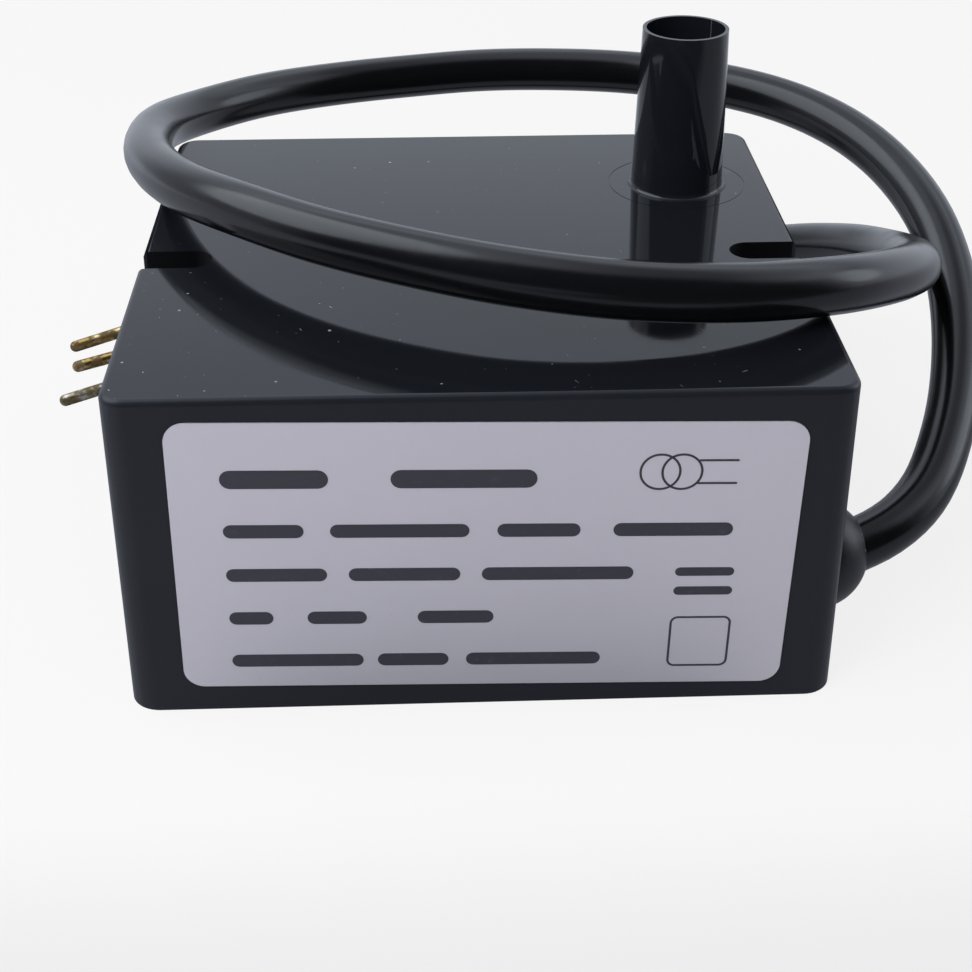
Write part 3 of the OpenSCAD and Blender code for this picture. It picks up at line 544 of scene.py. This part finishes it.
def board_laminate():
    """The board: green lacquer over a glass weave, with tinned tracks showing through."""
    finish = Finish("board_laminate")
    across, along = (
        finish.node("ShaderNodeTexWave", {"bands_direction": letter}, {
            "Vector": finish.place(), "Scale": WEAVE_SCALE, "Distortion": 0.3})
        for letter in "XY")
    weave = across * along
    tracks = finish.ramp(finish.noise(0.007, 1), 0.54, 0.55)
    green = finish.blend(weave * 0.5, (0.02, 0.09, 0.035, 1), (0.03, 0.13, 0.05, 1))
    colour = finish.blend(tracks * 0.45, green, (0.07, 0.22, 0.07, 1))
    lacquer = finish.bump(tracks, 0.3, 0.00005, finish.bump(weave, 0.15, 0.00003))
    return finish.surface(Base_Color=colour, Roughness=0.32 + weave * 0.08, Normal=lacquer)


def brushed_aluminium():
    """The heat sink: brushed aluminium with handling marks."""
    finish = Finish("brushed_aluminium")
    grain = finish.noise(0.0005, 4, 0.6, finish.stretched((1, 1, 0.05)))
    marks = finish.ramp(finish.noise(0.005, 4), 0.5, 0.7)
    colour = finish.blend(marks * 0.5, (0.62, 0.63, 0.65, 1), (0.42, 0.43, 0.45, 1))
    return finish.surface(
        Base_Color=colour, Metallic=1.0, Roughness=0.32 + marks * 0.15,
        Normal=finish.bump(grain, 0.2, 0.00004))


# Half of the blur between a body and its metal cap
CAP_EDGE = 0.05 * MM
# Width of a resistor's painted ring, as a share of the body with its wires
RING_SHARE = 0.05


def capped(name, node, body, cap, share):
    """A body along Y with a metal cap on each end."""
    finish = Finish(name)
    low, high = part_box(node)
    middle = (low.y + high.y) / 2
    half = (high.y - low.y) / 2 * share
    off = finish.node("ShaderNodeMath", {"operation": "ABSOLUTE"}, {0: finish.axis("Y") - middle})
    caps = finish.ramp(off, half - CAP_EDGE, half + CAP_EDGE)
    cloud = finish.noise(0.002, 4)
    glazed = finish.blend(cloud, solid(body), shaded(body, 0.8))
    colour = finish.blend(caps, glazed, solid(cap))
    return finish.surface(
        Base_Color=colour, Metallic=caps, Roughness=0.3 + cloud * 0.12,
        Normal=finish.bump(cloud, 0.1, 0.00005))


def banded(name, node, body, bands):
    """A lacquered resistor with painted rings along Y, and tinned wires past them."""
    finish = Finish(name)
    low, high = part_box(node)
    along = (finish.axis("Y") - low.y) / (high.y - low.y)
    stops = [(0.0, solid(body))]
    for place, paint_colour in bands:
        stops += [(place, solid(paint_colour)), (place + RING_SHARE, solid(body))]
    rings = finish.node("ShaderNodeValToRGB", {"steps": stops}, {0: along})
    tone = finish.noise(0.0015, 4)
    colour = finish.blend(tone * 0.25, rings, shaded(body, 0.5))
    return finish.surface(
        Base_Color=colour, Roughness=0.32 + tone * 0.12, Normal=finish.bump(tone, 0.12, 0.00005))


# The lead's route from the outlet to the plug, in millimetres, as the part's source has it
ROUTE = [
    (49.7, -24.8, 11.3), (58.3, -18.3, 13.6), (64, -8.5, 18), (67.7, 2.8, 23), (69.5, 14.8, 28.5),
    (69, 27, 33.3), (66, 39.5, 36.7), (60.5, 51, 39), (52.5, 61, 40.2), (42, 69, 40.6),
    (30, 75, 40.5), (17.5, 78, 40.3), (4.5, 79, 40), (-8.5, 77.5, 39.6), (-21, 73.5, 39.7),
    (-32, 66, 40.5), (-41, 55.5, 41.5), (-45.5, 43, 43.5), (-45.5, 30, 45.3), (-42.5, 17.5, 47),
    (-37, 5.5, 48.7), (-29, -5, 50), (-19, -14, 50.3), (-7.5, -21, 50.2), (4.5, -26, 49.8),
    (17.5, -28.3, 49), (30.5, -27.3, 48), (42.5, -22.3, 46.3), (51.5, -13, 43), (58, -2, 39),
    (61.5, 9.5, 34.7), (62, 22, 30.3), (59.5, 34.5, 26), (54.5, 46.5, 21), (47, 57, 15.5),
    (37.5, 65, 10.5), (26, 70, 7.4), (13.5, 72.3, 6.2), (0.5, 72.5, 6)]
LEAD_TURN = math.radians(24)
LEAD_RISE = math.radians(8)
EXIT_WAY = Vector((
    math.cos(LEAD_RISE) * math.cos(LEAD_TURN),
    math.cos(LEAD_RISE) * math.sin(LEAD_TURN),
    math.sin(LEAD_RISE)))
PLUG_WAY = Vector((-1, 0, 0))
STEPS_PER_SPAN = 6
ROUNDNESS = 10
# How far the drawn lead runs on inside the outlet, so that no seam shows
LEAD_HIDDEN = 4 * MM


def lead_points():
    """Points along the lead's axis, in metres, on the same smooth curve as the solid's."""
    points = [Vector(p) for p in ROUTE]
    before = points[1] - 2 * (points[1] - points[0]).length * EXIT_WAY
    after = points[-2] + 2 * (points[-1] - points[-2]).length * PLUG_WAY
    knots = [before, *points, after]
    found = []
    for i in range(1, len(knots) - 2):
        a, b, c, d = knots[i - 1:i + 3]
        for step in range(STEPS_PER_SPAN):
            t = step / STEPS_PER_SPAN
            found.append(0.5 * (
                2 * b + (c - a) * t + (2 * a - 5 * b + 4 * c - d) * t ** 2
                + (3 * b - a - 3 * c + d) * t ** 3))
    found.append(points[-1])
    return [p * MM for p in found]


class LayLead(bpy.types.Operator):
    """Lays the high-voltage lead along its route, as one smooth tube"""

    bl_idname = "transformer.lay_lead"
    bl_label = "High-voltage lead"

    def execute(self, context):
        settings = context.scene.transformer_lead
        points = lead_points()
        curve = bpy.data.curves.new("high_voltage_lead", "CURVE")
        curve.dimensions = "3D"
        curve.bevel_depth = settings.diameter / 2
        curve.bevel_resolution = ROUNDNESS
        curve.use_fill_caps = True
        laid = [points[0] - EXIT_WAY * LEAD_HIDDEN, *points]
        spline = curve.splines.new("POLY")
        spline.points.add(len(laid) - 1)
        for place, point in zip(spline.points, laid):
            place.co = (*point, 1)
        spline.use_smooth = True
        lead = bpy.data.objects.new("high_voltage_lead", curve)
        context.scene.collection.objects.link(lead)
        paint(lead, jacket_rubber(settings))
        seat(lead, "hv_lead", slot="lead_jacket")
        length = sum((b - a).length for a, b in zip(points, points[1:]))
        return {"FINISHED"}


# Camera, floor, surround and lamps

# The camera as fitted to the photograph: lengths in metres, turns in degrees
CAMERA_PLACE = (-0.00606, -0.20124, 0.13107)
CAMERA_PITCH = 58.025
CAMERA_YAW = -2.263
NEAREST_SEEN = 0.01
# Its focal length and the width of its sensor, in millimetres
CAMERA_LENS = 61.83
SENSOR_WIDTH = 36

LAMP_TINT = (0.87, 0.93, 1.0)
# Each lamp's name, its place and width in metres, its power's setting, and if reflections show it
LAMPS = (
    ("left_lamp", (-0.66, 0.12, 0.74), 1.0, "left_power", True),
    ("right_lamp", (0.91, 0.16, 0.38), 0.5, "right_power", True),
    ("front_lamp", (-0.33, -0.36, 0.46), 0.35, "front_power", False))

# How far the floor lies under the object, so that their faces never meet
FLOOR_DROP = 0.1 * MM
# The share of the floor's own glow in the view, near the object. Far away it is 1, like the background.
NEAR_GLOW = 0.88
# The paper's brightness in front of the object, where it is painted darker as shade
NEAR_PAPER = 0.88
# Brightness of the backdrop's light in reflections, and the least that any way has
BACKDROP_LEVEL = 1.4
BACKDROP_LEAST = 0.02

# Brightness of the backdrop in reflections, from the horizon up to overhead
BACKDROP_BANDS = [
    (0.0, (0.6, 0.6, 0.6, 1)), (0.34, (0.57, 0.57, 0.57, 1)), (0.47, (0.47, 0.47, 0.47, 1)),
    (0.57, (0.65, 0.65, 0.65, 1)), (0.66, (0.95, 0.95, 0.95, 1)), (0.78, (0.6, 0.6, 0.6, 1)),
    (0.92, (0.75, 0.75, 0.75, 1))]


class SetStage(bpy.types.Operator):
    """Sets the camera at the photograph's angle, a pale floor, a white surround and soft lamps"""

    bl_idname = "transformer.set_stage"
    bl_label = "Stage"

    def execute(self, context):
        settings = context.scene.transformer_stage
        bpy.ops.object.camera_add(
            location=CAMERA_PLACE,
            rotation=(math.radians(CAMERA_PITCH), 0, math.radians(CAMERA_YAW)))
        camera = context.object
        camera.name = "photo_camera"
        camera.data.sensor_width = SENSOR_WIDTH
        camera.data.lens = CAMERA_LENS
        camera.data.clip_start = NEAREST_SEEN
        context.scene.camera = camera
        bpy.ops.mesh.primitive_plane_add(size=settings.floor_size, location=(0, 0, -FLOOR_DROP))
        floor = context.object
        floor.name = "floor"
        paint(floor, self.floor_paper(settings))
        self.surround(context, settings)
        for name, place, size, power, reflected in LAMPS:
            self.lamp(name, place, size, getattr(settings, power)).visible_glossy = reflected
        context.scene.view_settings.view_transform = "Standard"
        return {"FINISHED"}

    @staticmethod
    def floor_paper(settings):
        """White paper: nearly the background's white to the camera, with painted shade on the paper in
        front, and dimmer in front in reflections.

        The strip at the front's foot sends back no light, so that the plate darkens downwards.
        Every ramp along the floor is in metres from the object's middle.
        """
        finish = Finish("floor_paper")
        across = finish.axis("X")
        depth = finish.axis("Y")
        fibre = finish.noise(0.004, 4)
        shade = finish.blend(fibre * 0.1, (0.88, 0.82, 0.79, 1), (0.84, 0.78, 0.75, 1))
        plain = finish.node("ShaderNodeBsdfDiffuse", {}, {"Color": shade})
        shaded_front_paper = shaded(settings.paper, NEAR_PAPER)
        # Towards the camera the paper is painted darker as shade.
        paper = finish.blend(finish.ramp(depth, -0.086, -0.056), shaded_front_paper, solid(settings.paper))
        glow = finish.node("ShaderNodeEmission", {}, {"Color": paper})
        behind = finish.ramp(depth, 0.02, 0.3)
        left = 1 - finish.ramp(across, -0.2, 0.02)
        level = behind.higher(left * 0.5)
        in_front = finish.ramp(depth, -0.2, -0.125)
        front_shade = finish.blend(in_front, (0.04, 0.044, 0.052, 1), (0.31, 0.33, 0.38, 1))
        mirror_shade = finish.blend(level, front_shade, (0.74, 0.79, 0.9, 1))
        mirrored = finish.node("ShaderNodeEmission", {}, {"Color": mirror_shade})
        far_off = finish.ramp(across * across + depth * depth, 0.1, 1.2)
        glow_share = NEAR_GLOW + far_off * (1 - NEAR_GLOW)
        seen = finish.join(finish.ray("Camera") * glow_share, plain, glow)
        foot = finish.ramp(depth, -0.085, -0.05) * (1 - finish.ramp(across * across, 0.0002, 0.0018))
        unlit = finish.node("ShaderNodeEmission", {}, {"Strength": 0.0})
        grounded = finish.join(finish.ray("Diffuse") * foot, seen, unlit)
        finish.close(finish.join(finish.ray("Glossy"), grounded, mirrored))
        return finish.material

    @staticmethod
    def surround(context, settings):
        """White to the camera, a backdrop lit from behind in reflections, and a fill for the rest."""
        world = bpy.data.worlds.new("surround")
        wiring = Wiring(world, "ShaderNodeOutputWorld")
        way = wiring.node("ShaderNodeTexCoord")
        rightward, rearward, upward = (
            wiring.node("ShaderNodeSeparateXYZ", {}, {0: way}, output=letter) for letter in "XYZ")
        backdrop = wiring.ramp(rearward, -0.4, 0.0)
        bands = wiring.node("ShaderNodeValToRGB", {"stops": BACKDROP_BANDS}, {0: upward})
        overhead_right = wiring.ramp(rightward, -0.15, 0.2) * wiring.ramp(upward, 0.8, 0.9)
        low_left = 1 - wiring.ramp(rightward, -0.75, -0.4)
        dimmed = backdrop * bands * (1 - overhead_right * 0.6) * (1 - low_left * 0.5)
        level = dimmed * BACKDROP_LEVEL + BACKDROP_LEAST
        paper = wiring.node("ShaderNodeBackground", {}, {"Color": solid(settings.paper)})
        studio = wiring.node("ShaderNodeBackground", {}, {
            "Color": solid(settings.studio), "Strength": level})
        fill = wiring.node("ShaderNodeBackground", {}, {
            "Color": (1, 1, 1, 1), "Strength": settings.fill})
        mirrored = wiring.ray("Glossy").higher(wiring.ray("Transmission"))
        wiring.close(wiring.join(wiring.ray("Camera"), wiring.join(mirrored, fill, studio), paper))
        context.scene.world = world

    @staticmethod
    def lamp(name, place, size, power):
        bpy.ops.object.light_add(type="AREA", location=place)
        lamp = bpy.context.object
        lamp.name = name
        lamp.data.shape = "DISK"
        lamp.data.size = size
        lamp.data.energy = power
        lamp.data.color = LAMP_TINT
        lamp.rotation_euler = (-Vector(place)).to_track_quat("-Z", "Y").to_euler()
        return lamp


# Pieces of the transformer

# Half of the case's depth at the top face and its height, in millimetres, and its draft in degrees
CASE_HALF_DEPTH = 40.75
CASE_H = 42.5
DRAFT = 1.0

# What counts as the tower above the top face, as the top face, and as a level face
TOWER_FROM = 0.1 * MM
TOP_BAND = 0.5 * MM
LEVEL_NORMAL = 0.99


class MouldCase(bpy.types.Operator):
    """Moulds the case with its tower and slots, polished on top and satin at the sides"""

    bl_idname = "transformer.mould_case"
    bl_label = "Case"

    def execute(self, context):
        settings = context.scene.transformer_case
        case = merged_copy("case", "case_moulding", threshold=CASE_HAIR)
        paint(case, polished_plastic(settings), satin_plastic(settings))
        top = CASE_H * MM
        for face in case.data.polygons:
            on_tower = face.center.z > top + TOWER_FROM
            on_top = face.center.z > top - TOP_BAND and face.normal.z > LEVEL_NORMAL
            face.material_index = 0 if on_tower or on_top else 1
        smooth(case)
        seat(case, "case", slot="case_plastic")
        return {"FINISHED"}


class PourPotting(bpy.types.Operator):
    """Pours the potting resin that closes the case's base"""

    bl_idname = "transformer.pour_potting"
    bl_label = "Potting resin"

    def execute(self, context):
        finish = Finish("cast_resin")
        cloud = finish.noise(0.012, 5, 0.6)
        bubbles = finish.specks(0.005, 0.0012, 0.25)
        colour = finish.blend(cloud, (0.016, 0.016, 0.018, 1), (0.03, 0.03, 0.032, 1))
        swell = finish.bump(finish.noise(0.02, 2), 0.3, 0.0006)
        pits = finish.bump(1 - bubbles, 0.4, 0.0002, swell)
        material = finish.surface(Base_Color=colour, Roughness=0.35 + cloud * 0.2, Normal=pits)
        dressed("potting_resin", "potting_resin_fill", material, "resin")
        return {"FINISHED"}


class FitOutlet(bpy.types.Operator):
    """Fits the domed rubber outlet of the lead"""

    bl_idname = "transformer.fit_outlet"
    bl_label = "Lead outlet"

    def execute(self, context):
        rubber = moulded_rubber("outlet_rubber", (0.009, 0.009, 0.011), 0.34)
        dressed("lead_outlet", "domed_outlet", rubber, "outlet_rubber", degrees=50)
        return {"FINISHED"}


class FitPlug(bpy.types.Operator):
    """Fits the electrode plug at the lead's far end"""

    bl_idname = "transformer.fit_plug"
    bl_label = "Electrode plug"

    def execute(self, context):
        rubber = moulded_rubber("plug_rubber", (0.012, 0.012, 0.013), 0.5)
        dressed("plug_boot", "plug_rubber_boot", rubber, "plug_rubber", degrees=30)
        dressed("plug_socket", "plug_brass_socket", turned_brass(), "terminal_brass", degrees=30)
        return {"FINISHED"}


class BendPins(bpy.types.Operator):
    """Dresses the three brass supply pins"""

    bl_idname = "transformer.bend_pins"
    bl_label = "Supply pins"

    def execute(self, context):
        golden = stained_brass("stained_brass", (0.27, 0.18, 0.06), (0.55, 0.42, 0.24))
        greyed = stained_brass("greyed_brass", (0.23, 0.2, 0.12), (0.5, 0.47, 0.42))
        brasses = {"supply_pin_rear": golden, "supply_pin_middle": golden, "earth_pin": greyed}
        for node, brass in brasses.items():
            dressed(node, "brass_" + node, brass, "pin_brass", degrees=50)
        return {"FINISHED"}


# The rating plate's thickness, and its centre across and up the front, in millimetres
PLATE_T = 0.2
PLATE_X = 0.3
PLATE_UP = 21.1
# Its turn on the front, in degrees
PLATE_TURN = 1.07


def plate_frame():
    """From the plate's own face, in millimetres, to the row's frame, in metres."""
    half = CASE_HALF_DEPTH + CASE_H * math.tan(math.radians(DRAFT))
    return (Matrix.Scale(MM, 4)
            @ Matrix.Translation((PLATE_X, -half, 0))
            @ Matrix.Rotation(math.radians(90 - DRAFT), 4, "X")
            @ Matrix.Translation((0, PLATE_UP / math.cos(math.radians(DRAFT)), 0))
            @ Matrix.Rotation(math.radians(-PLATE_TURN), 4, "Z"))


# The print in millimetres on the plate's face, right and up from its centre.
# Each row of bars has its height above the centre, the bars' width and their ends.
PRINT_LINE = 0.28
BAR_ROWS = (
    (10.9, 2.4, ((-30.2, -18), (-11, 5.6))),
    (4.0, 1.8, ((-30.2, -21), (-18, -2), (1.2, 10.8), (14.6, 28.5))),
    (-2.0, 1.8, ((-30.2, -18.5), (-16, -3), (-0.5, 17.3))),
    (-8.1, 1.8, ((-30.2, -25), (-21, -14), (-8, 1))),
    (-14.3, 1.8, ((-30.2, -14.5), (-12.8, -4.3), (-2.2, 14))),
    (-1.9, 1.2, ((22.2, 29.2),)),
    (-4.6, 1.2, ((22.2, 29.2),)),
    (13.2, PRINT_LINE, ((23.8, 28.4),)),
    (10.2, PRINT_LINE, ((23.8, 28.4),)))
RING_CENTRES = ((19.5, 11.7), (22, 11.7))
RING_RADIUS = 2.4
FRAME_CENTRE = (25.8, -12)
FRAME_WIDTH = 7.4
FRAME_CORNER = 1
# The steps round a corner of a bar and of an outline, and the share of a corner that is rounded
BAR_STEPS = 5
OUTLINE_STEPS = 12
ROUNDED_SHARE = 0.99


class PrintPlate(bpy.types.Operator):
    """Cuts the rating plate and prints it with plain bars and rings"""

    bl_idname = "transformer.print_plate"
    bl_label = "Rating plate"

    def execute(self, context):
        settings = context.scene.transformer_plate
        dressed("rating_plate", "rating_plate_foil", plate_foil(settings), "plate", degrees=30)
        marks = []
        for middle, height, ends in BAR_ROWS:
            for left, right in ends:
                marks.append(self.bar((left + right) / 2, middle, right - left, height, height / 2))
        for x, y in RING_CENTRES:
            marks.append(self.bar(x, y, 2 * RING_RADIUS, 2 * RING_RADIUS, RING_RADIUS, PRINT_LINE))
        marks.append(self.bar(*FRAME_CENTRE, FRAME_WIDTH, FRAME_WIDTH, FRAME_CORNER, PRINT_LINE))
        select_only(*marks)
        bpy.ops.object.join()
        ink = context.object
        ink.name = "rating_plate_print"
        bpy.ops.object.modifier_add(type="SOLIDIFY")
        ink.modifiers[-1].thickness = settings.ink_thickness / MM
        ink.modifiers[-1].offset = 1
        bpy.ops.object.modifier_apply(modifier=ink.modifiers[-1].name)
        ink.data.transform(plate_frame() @ Matrix.Translation((0, 0, PLATE_T)))
        paint(ink, plate_ink(settings))
        seat(ink, slot="plate")
        return {"FINISHED"}

    @staticmethod
    def bar(x, y, width, height, corner, line=0):
        """A flat bar with round corners, or its outline where a line's width is given."""
        select_none()
        bpy.ops.mesh.primitive_plane_add(size=1)
        piece = bpy.context.object
        bpy.ops.object.mode_set(mode="EDIT")
        bpy.ops.transform.resize(value=(width, height, 1))
        bpy.ops.transform.translate(value=(x, y, 0))
        steps = OUTLINE_STEPS if line else BAR_STEPS
        bpy.ops.mesh.bevel(offset=corner * ROUNDED_SHARE, segments=steps, affect="VERTICES")
        if line:
            bpy.ops.mesh.select_all(action="SELECT")
            bpy.ops.mesh.inset(thickness=line)
            bpy.ops.mesh.delete(type="FACE")
        bpy.ops.object.mode_set(mode="OBJECT")
        return piece


class DressInside(bpy.types.Operator):
    """Gives the sealed pieces inside the potting their materials"""

    bl_idname = "transformer.dress_inside"
    bl_label = "Inner pieces"

    def execute(self, context):
        brass = turned_brass()
        copper = drawn_copper()
        ferrite = pressed_ferrite()
        nylon = moulded_body("bobbin_nylon", (0.62, 0.58, 0.47), (0.5, 0.46, 0.36), 0.42)
        black = moulded_body("black_epoxy", (0.016, 0.016, 0.018), (0.035, 0.035, 0.038), 0.4)
        finishes = {
            "lead_inner_end": jacket_rubber(context.scene.transformer_lead),
            "lead_conductor": copper,
            "hv_terminal": brass,
            "secondary_post_front": brass,
            "secondary_post_rear": brass,
            "core_half_front": ferrite,
            "core_half_rear": ferrite,
            "choke_core": ferrite,
            "primary_bobbin": nylon,
            "secondary_bobbin": nylon,
            "primary_winding": wound_wire("primary_wire", 0.0004, "Y"),
            "secondary_winding": wound_wire("secondary_wire", 0.00018, "Y"),
            "choke_winding": wound_wire("choke_wire", 0.0005, "Z"),
            "primary_wires": copper,
            "earth_strap": copper,
            "circuit_board": board_laminate(),
            "suppression_capacitor": moulded_body(
                "yellow_box", (0.6, 0.36, 0.03), (0.45, 0.26, 0.02), 0.35),
            "discharge_capacitor": moulded_body(
                "blue_box", (0.03, 0.11, 0.3), (0.02, 0.07, 0.2), 0.35),
            "fuse": capped("glazed_fuse", "fuse", (0.75, 0.73, 0.68), (0.7, 0.7, 0.7), 0.55),
            "varistor": moulded_body("blue_dip", (0.02, 0.1, 0.32), (0.015, 0.06, 0.2), 0.3),
            "rectifier_diodes": black,
            "thyristor_body": black,
            "heat_sink": brushed_aluminium(),
            "charge_resistor": banded("brown_lacquer", "charge_resistor", (0.19, 0.11, 0.06), (
                (0.3, (0.25, 0.16, 0.02)), (0.42, (0.12, 0.01, 0.01)), (0.54, (0.01, 0.01, 0.01)))),
            "gate_resistors": banded("tan_lacquer", "gate_resistors", (0.55, 0.38, 0.2), (
                (0.3, (0.12, 0.01, 0.01)), (0.42, (0.02, 0.02, 0.02)), (0.6, (0.4, 0.25, 0.03)))),
            "diac": capped("glass_diac", "diac", (0.03, 0.08, 0.2), (0.02, 0.02, 0.02), 0.5),
        }
        for node, material in finishes.items():
            paint(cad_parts[node], material)
        return {"FINISHED"}


class TransformerPanel(bpy.types.Panel):
    """Lists the steps that dress the transformer"""

    bl_label = "Ignition transformer"
    bl_idname = "TRANSFORMER_PT_steps"
    bl_space_type = "VIEW_3D"
    bl_region_type = "UI"
    bl_category = "Transformer"

    def draw(self, context):
        for step in STEPS:
            self.layout.operator(step.bl_idname)
        for name in SETTINGS:
            group = getattr(context.scene, name)
            box = self.layout.box()
            for prop in group.bl_rna.properties:
                if prop.identifier not in ("rna_type", "name"):
                    box.prop(group, prop.identifier)


STEPS = (
    SetStage, FitPlug, LayLead, MouldCase, PourPotting, FitOutlet, BendPins, PrintPlate, DressInside)
SETTINGS = {
    "transformer_case": CaseSettings,
    "transformer_plate": PlateSettings,
    "transformer_lead": LeadSettings,
    "transformer_stage": StageSettings,
}


def register():
    for group in SETTINGS.values():
        bpy.utils.register_class(group)
    for name, group in SETTINGS.items():
        setattr(bpy.types.Scene, name, bpy.props.PointerProperty(type=group))
    for step in STEPS:
        bpy.utils.register_class(step)
    bpy.utils.register_class(TransformerPanel)


def unregister():
    bpy.utils.unregister_class(TransformerPanel)
    for step in reversed(STEPS):
        bpy.utils.unregister_class(step)
    for name in SETTINGS:
        delattr(bpy.types.Scene, name)
    for group in SETTINGS.values():
        bpy.utils.unregister_class(group)


def main():
    register()
    bpy.ops.transformer.set_stage()
    bpy.ops.transformer.fit_plug()
    bpy.ops.transformer.lay_lead()
    bpy.ops.transformer.mould_case()
    bpy.ops.transformer.pour_potting()
    bpy.ops.transformer.fit_outlet()
    bpy.ops.transformer.bend_pins()
    bpy.ops.transformer.print_plate()
    bpy.ops.transformer.dress_inside()


if __name__ == "__main__":
    main()
